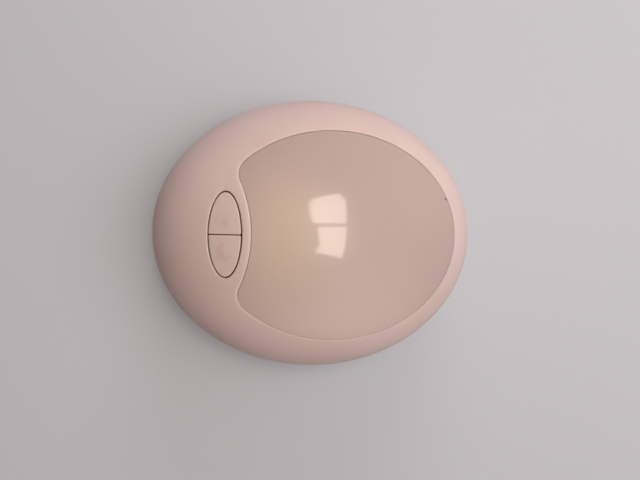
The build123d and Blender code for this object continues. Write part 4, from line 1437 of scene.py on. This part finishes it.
@dataclass
class Studio:
    """Camera, floor, lamps and world."""

    eye: tuple[float, float, float] = (0.00132, 0.00509, 0.19697)
    tilt: tuple[float, float, float] = (-0.03926, -0.00911, 0.01662)
    lens_mm: float = 31.5
    panes: tuple = (
        ((-0.007, 0.183), (0.014, 0.214), (0.134, 0.264), (0.168, 0.204), (0.16, 0.06), (0.007, 0.057),
         (-0.006, 0.118)),
        ((0.029, 0.036), (0.162, 0.044), (0.157, -0.074), (0.142, -0.147), (0.069, -0.122), (0.019, -0.107),
         (0.038, -0.064)),
    )
    pane_height: float = 0.6
    pane_radiance: float = 6.7
    shade_level: float = 0.06
    bright_level: float = 0.6

    def camera(self) -> None:
        """Place the camera above, tipped a little as in the photograph."""
        data = bpy.data.cameras.new("camera")
        data.lens, data.sensor_width = self.lens_mm, 36.0
        data.clip_start = 0.005
        eye = bpy.data.objects.new("camera", data)
        eye.location = self.eye
        eye.rotation_euler = self.tilt
        bpy.context.scene.collection.objects.link(eye)
        bpy.context.scene.camera = eye

    def lamp(self, name: str, at: Sequence[float], size: tuple[float, float], radiance: float, colour: str,
             target: Optional[Sequence[float]] = None) -> None:
        """Hang a rectangular lamp.

        Args:
            name: its name.
            at: its place in metres.
            size: its two sides in metres.
            radiance: how bright its face is.
            colour: its colour as hex.
            target: the point it faces, or straight down without one.
        """
        data = bpy.data.lights.new(name, "AREA")
        data.shape, data.size, data.size_y = "RECTANGLE", size[0], size[1]
        data.energy = radiance * math.pi * size[0] * size[1]
        data.color = linear(colour)[:3]
        lamp = bpy.data.objects.new(name, data)
        lamp.location = at
        if target is not None:
            lamp.rotation_euler = (Vector(target) - Vector(at)).to_track_quat("-Z", "Y").to_euler()
        lamp.visible_glossy = False
        bpy.context.scene.collection.objects.link(lamp)

    def lamps(self) -> None:
        """Hang two panes of soft light, shaped as the window's reflection shows them, and a low key."""
        glow = bpy.data.materials.new("pane_light")
        glow.use_nodes = True
        tree = glow.node_tree
        tree.nodes.clear()
        light = add_node(tree, "ShaderNodeEmission", {"Color": "#FFF6EA", "Strength": self.pane_radiance})
        add_node(tree, "ShaderNodeOutputMaterial", {"Surface": light.outputs[0]})
        for number, corners in enumerate(self.panes, start=1):
            mesh = bpy.data.meshes.new(f"pane_{number}")
            mesh.from_pydata([(x, y, self.pane_height) for x, y in corners], [], [tuple(range(len(corners)))])
            mesh.materials.append(glow)
            pane = bpy.data.objects.new(f"pane_{number}", mesh)
            pane.visible_camera = False
            bpy.context.scene.collection.objects.link(pane)
        self.lamp("low_key", (0.12, 0.72, 0.24), (0.4, 0.3), 4.6, "#FAF6FA", (0.0, 0.0, 0.03))
        self.lamp("high_key", (0.31, 0.05, 0.47), (0.4, 0.4), 1.7, "#FFF6F0", (0.0, 0.0, 0.03))

    def looked_at(self, tree: bpy.types.NodeTree) -> bpy.types.NodeSocket:
        """Tell the rays that the camera, a mirror or a clear piece sends from those that carry light.

        Args:
            tree: the tree that gets the nodes.

        Returns:
            One for a ray that shows the background, zero for one that lights the scene.
        """
        path = add_node(tree, "ShaderNodeLightPath").outputs
        ray = path["Is Camera Ray"]
        for other in ("Is Glossy Ray", "Is Transmission Ray"):
            ray = add_node(tree, "ShaderNodeMath", {0: ray, 1: path[other]}, operation="MAXIMUM").outputs[0]
        return ray

    def floor(self) -> None:
        """Lay a plain pale floor under the light."""
        mesh = bpy.data.meshes.new("floor")
        reach = 3.0
        mesh.from_pydata([(-reach, -reach, 0), (reach, -reach, 0), (reach, reach, 0), (-reach, reach, 0)],
                         [], [(0, 1, 2, 3)])
        made = bpy.data.materials.new("pale_matt_board")
        made.use_nodes = True
        tree = made.node_tree
        tree.nodes.clear()
        place = add_node(tree, "ShaderNodeTexCoord").outputs["Object"]
        cloud = add_node(tree, "ShaderNodeTexNoise", {"Vector": place, "Scale": 6.0, "Detail": 2.0})
        mix = add_node(tree, "ShaderNodeMix", {0: cloud.outputs["Fac"], 6: "#D3D7DE", 7: "#CDD2DB"},
                       data_type="RGBA")
        board = add_node(tree, "ShaderNodeBsdfPrincipled", {"Base Color": mix.outputs[2], "Roughness": 0.8})
        # Far from the light the board runs into the backdrop without a horizon
        reach = add_node(tree, "ShaderNodeVectorMath", {0: place}, operation="LENGTH").outputs["Value"]
        far = add_node(tree, "ShaderNodeMapRange", {"Value": reach, "From Min": 0.15, "From Max": 0.9},
                       interpolation_type="SMOOTHSTEP")
        plain = add_node(tree, "ShaderNodeEmission", {"Color": "#DDDDE1", "Strength": 0.75})
        seen = add_node(tree, "ShaderNodeMixShader",
                        {0: far.outputs["Result"], 1: board.outputs[0], 2: plain.outputs[0]})
        lit = add_node(tree, "ShaderNodeBsdfPrincipled", {"Base Color": "#2A211F", "Roughness": 0.8})
        both = add_node(tree, "ShaderNodeMixShader",
                        {0: self.looked_at(tree), 1: lit.outputs[0], 2: seen.outputs[0]})
        add_node(tree, "ShaderNodeOutputMaterial", {"Surface": both.outputs[0]})
        mesh.materials.append(made)
        floor = bpy.data.objects.new("floor", mesh)
        bpy.context.scene.collection.objects.link(floor)

    def world(self) -> None:
        """Fill the room with pale light that is stronger on the window's side."""
        world = bpy.data.worlds.new("studio")
        bpy.context.scene.world = world
        world.use_nodes = True
        tree = world.node_tree
        tree.nodes.clear()
        way = add_node(tree, "ShaderNodeTexCoord").outputs["Generated"]
        side = add_node(tree, "ShaderNodeVectorMath", {0: way, 1: (0.88, -0.08, 0.41)}, operation="DOT_PRODUCT")
        share = add_node(tree, "ShaderNodeMapRange", {"Value": side.outputs["Value"], "From Min": -0.45},
                         interpolation_type="SMOOTHSTEP").outputs["Result"]
        level = add_node(tree, "ShaderNodeMapRange",
                         {"Value": share, "To Min": self.shade_level, "To Max": self.bright_level})
        tint = add_node(tree, "ShaderNodeMix", {0: share, 6: "#F0A888", 7: "#FBF8FA"}, data_type="RGBA")
        light = add_node(tree, "ShaderNodeBackground",
                         {"Color": tint.outputs[2], "Strength": level.outputs["Result"]})
        plain = add_node(tree, "ShaderNodeBackground", {"Color": "#DDDDE1", "Strength": 0.75})
        both = add_node(tree, "ShaderNodeMixShader",
                        {0: self.looked_at(tree), 1: light.outputs[0], 2: plain.outputs[0]})
        add_node(tree, "ShaderNodeOutputWorld", {"Surface": both.outputs[0]})


# What each CAD node that stays in view is made of
CARRIED = {
    "reflector_tray": WHITE_ABS,
    "circuit_board": SOLDER_MASK,
    "driver_chip": EPOXY,
    "resistors": EPOXY,
    "filter_capacitor": DRAWN_ALUMINIUM,
    "upper_switch_case": EPOXY,
    "lower_switch_case": EPOXY,
    "upper_switch_plunger": EPOXY,
    "lower_switch_plunger": EPOXY,
    "board_screws": ZINC_STEEL,
    "contact_positive": NICKEL_STRIP,
    "contact_negative": NICKEL_STRIP,
    "contact_bridge_front": NICKEL_STRIP,
    "contact_bridge_rear": NICKEL_STRIP,
    "battery_lead_red": RED_PVC,
    "battery_lead_black": BLACK_PVC,
    **{f"warm_led_{n}": PHOSPHOR for n in range(1, 5)},
    **{f"cell_{n}": SLEEVE for n in range(1, 4)},
}


def dress_carried() -> None:
    """Give each CAD node that stays its finish."""
    for node, finish in CARRIED.items():
        dress(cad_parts[node], finish)
        LOG.info("%s keeps its CAD mesh, finish %s", node, finish.name)


def build_tops(form: Pebble) -> None:
    """Build the upper housing with its bosses, the lens and the keys.

    Args:
        form: the rule of the dome.
    """
    lens, keys, fasteners = Lens(form), Keys(form), Fasteners()
    housing = TopHousing(form, lens, keys).build()
    dress(housing, SATIN_ABS)
    declare(housing, "housing", "housing", "top_housing")

    for name, places, bore, foot in (("board_bosses", fasteners.board_places, 1.05, 25.6),
                                     ("housing_bosses", fasteners.housing_places, 1.35, form.girth + 0.3)):
        for number, place in enumerate(places, start=1):
            away = np.array([place]) * (1 + fasteners.boss_radius / math.hypot(*place))
            height = float(form.height_at(away, 1.6)[0]) - foot
            boss = fasteners.bosses(f"{name}_{number}", [(*place, foot + height / 2)], bore, height, PLAIN_ABS)
            declare(boss, "housing", "housing")

    window = lens.build()
    window.data.materials.append(OpalFinish().material())
    declare(window, "housing", "lens", "lens")

    for name, side in (("upper", 1), ("lower", -1)):
        key = keys.build(f"{name}_push_key", side)
        dress(key, SATIN_ABS)
        declare(key, f"{name}_key", "housing", f"{name}_key")
    angle = np.linspace(0, 2 * math.pi, 40, endpoint=False)
    dot = Outline(np.column_stack([np.cos(angle), np.sin(angle)]) + (-23.4, 3.4), np.zeros((40, 2)))
    moon = keys.crescent((-23.7, -4.8), 2.4, math.radians(205))
    for name, outline, finish in (("upper", dot, SATIN_ABS), ("lower", moon, MARK_ABS)):
        mark = keys.mark(f"{name}_key_mark", outline)
        dress(mark, finish)
        declare(mark, f"{name}_key", "housing")


def build_underside(form: Pebble) -> None:
    """Build the lower housing, the door, the screws, the insert and the feet.

    Args:
        form: the rule of the dome.
    """
    low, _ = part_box("base_housing")
    base = BaseHousing(form.half_length, form.half_width, form.girth, low.z / MM).build()
    dress(base, PLAIN_ABS)
    declare(base, "housing", "housing", "base_housing")

    door = merged_copy("battery_door", "battery_door_plate", 30.0)
    dress(door, PLAIN_ABS)
    declare(door, "battery_door", "housing", "battery_door")

    fasteners = Fasteners()
    screws = fasteners.screws("housing_screw_set", [(*p, 11.0) for p in fasteners.housing_places], 2.5, 1.8, 1.3, 12.0)
    declare(screws, "housing", "screw", "housing_screws")
    door_screw = fasteners.screws("door_screw_pan", [(30.4, 0.0, 2.3)], 2.2, 1.1, 1.25, 5.9)
    declare(door_screw, "door_screw", "screw", "door_screw")
    insert = fasteners.insert("knurled_insert", (30.4, 0.0, 5.65), 2.0, 1.3, 4.5)
    declare(insert, "housing", "brass", "door_screw_insert")

    feet = Feet()
    for number, place in enumerate(feet.places, start=1):
        foot = feet.build(f"ringed_foot_{number}", place)
        declare(foot, "housing", "rubber", f"rubber_foot_{number}")
    declare(Board().joints("solder_joints"), "housing", "metal")


def main() -> None:
    """Build the light on its frame and set the studio round it."""
    logging.basicConfig(level=logging.INFO, format="%(message)s")
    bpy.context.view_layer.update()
    bpy.context.scene.view_settings.view_transform = "Standard"
    studio = Studio()
    studio.camera()
    studio.world()
    studio.lamps()
    studio.floor()

    low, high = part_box("top_housing")
    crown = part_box("lens")[1].z
    form = Pebble(high.x / MM, high.y / MM, low.z / MM, (crown - low.z) / MM)
    build_tops(form)
    build_underside(form)
    dress_carried()


if __name__ == "__main__":
    main()
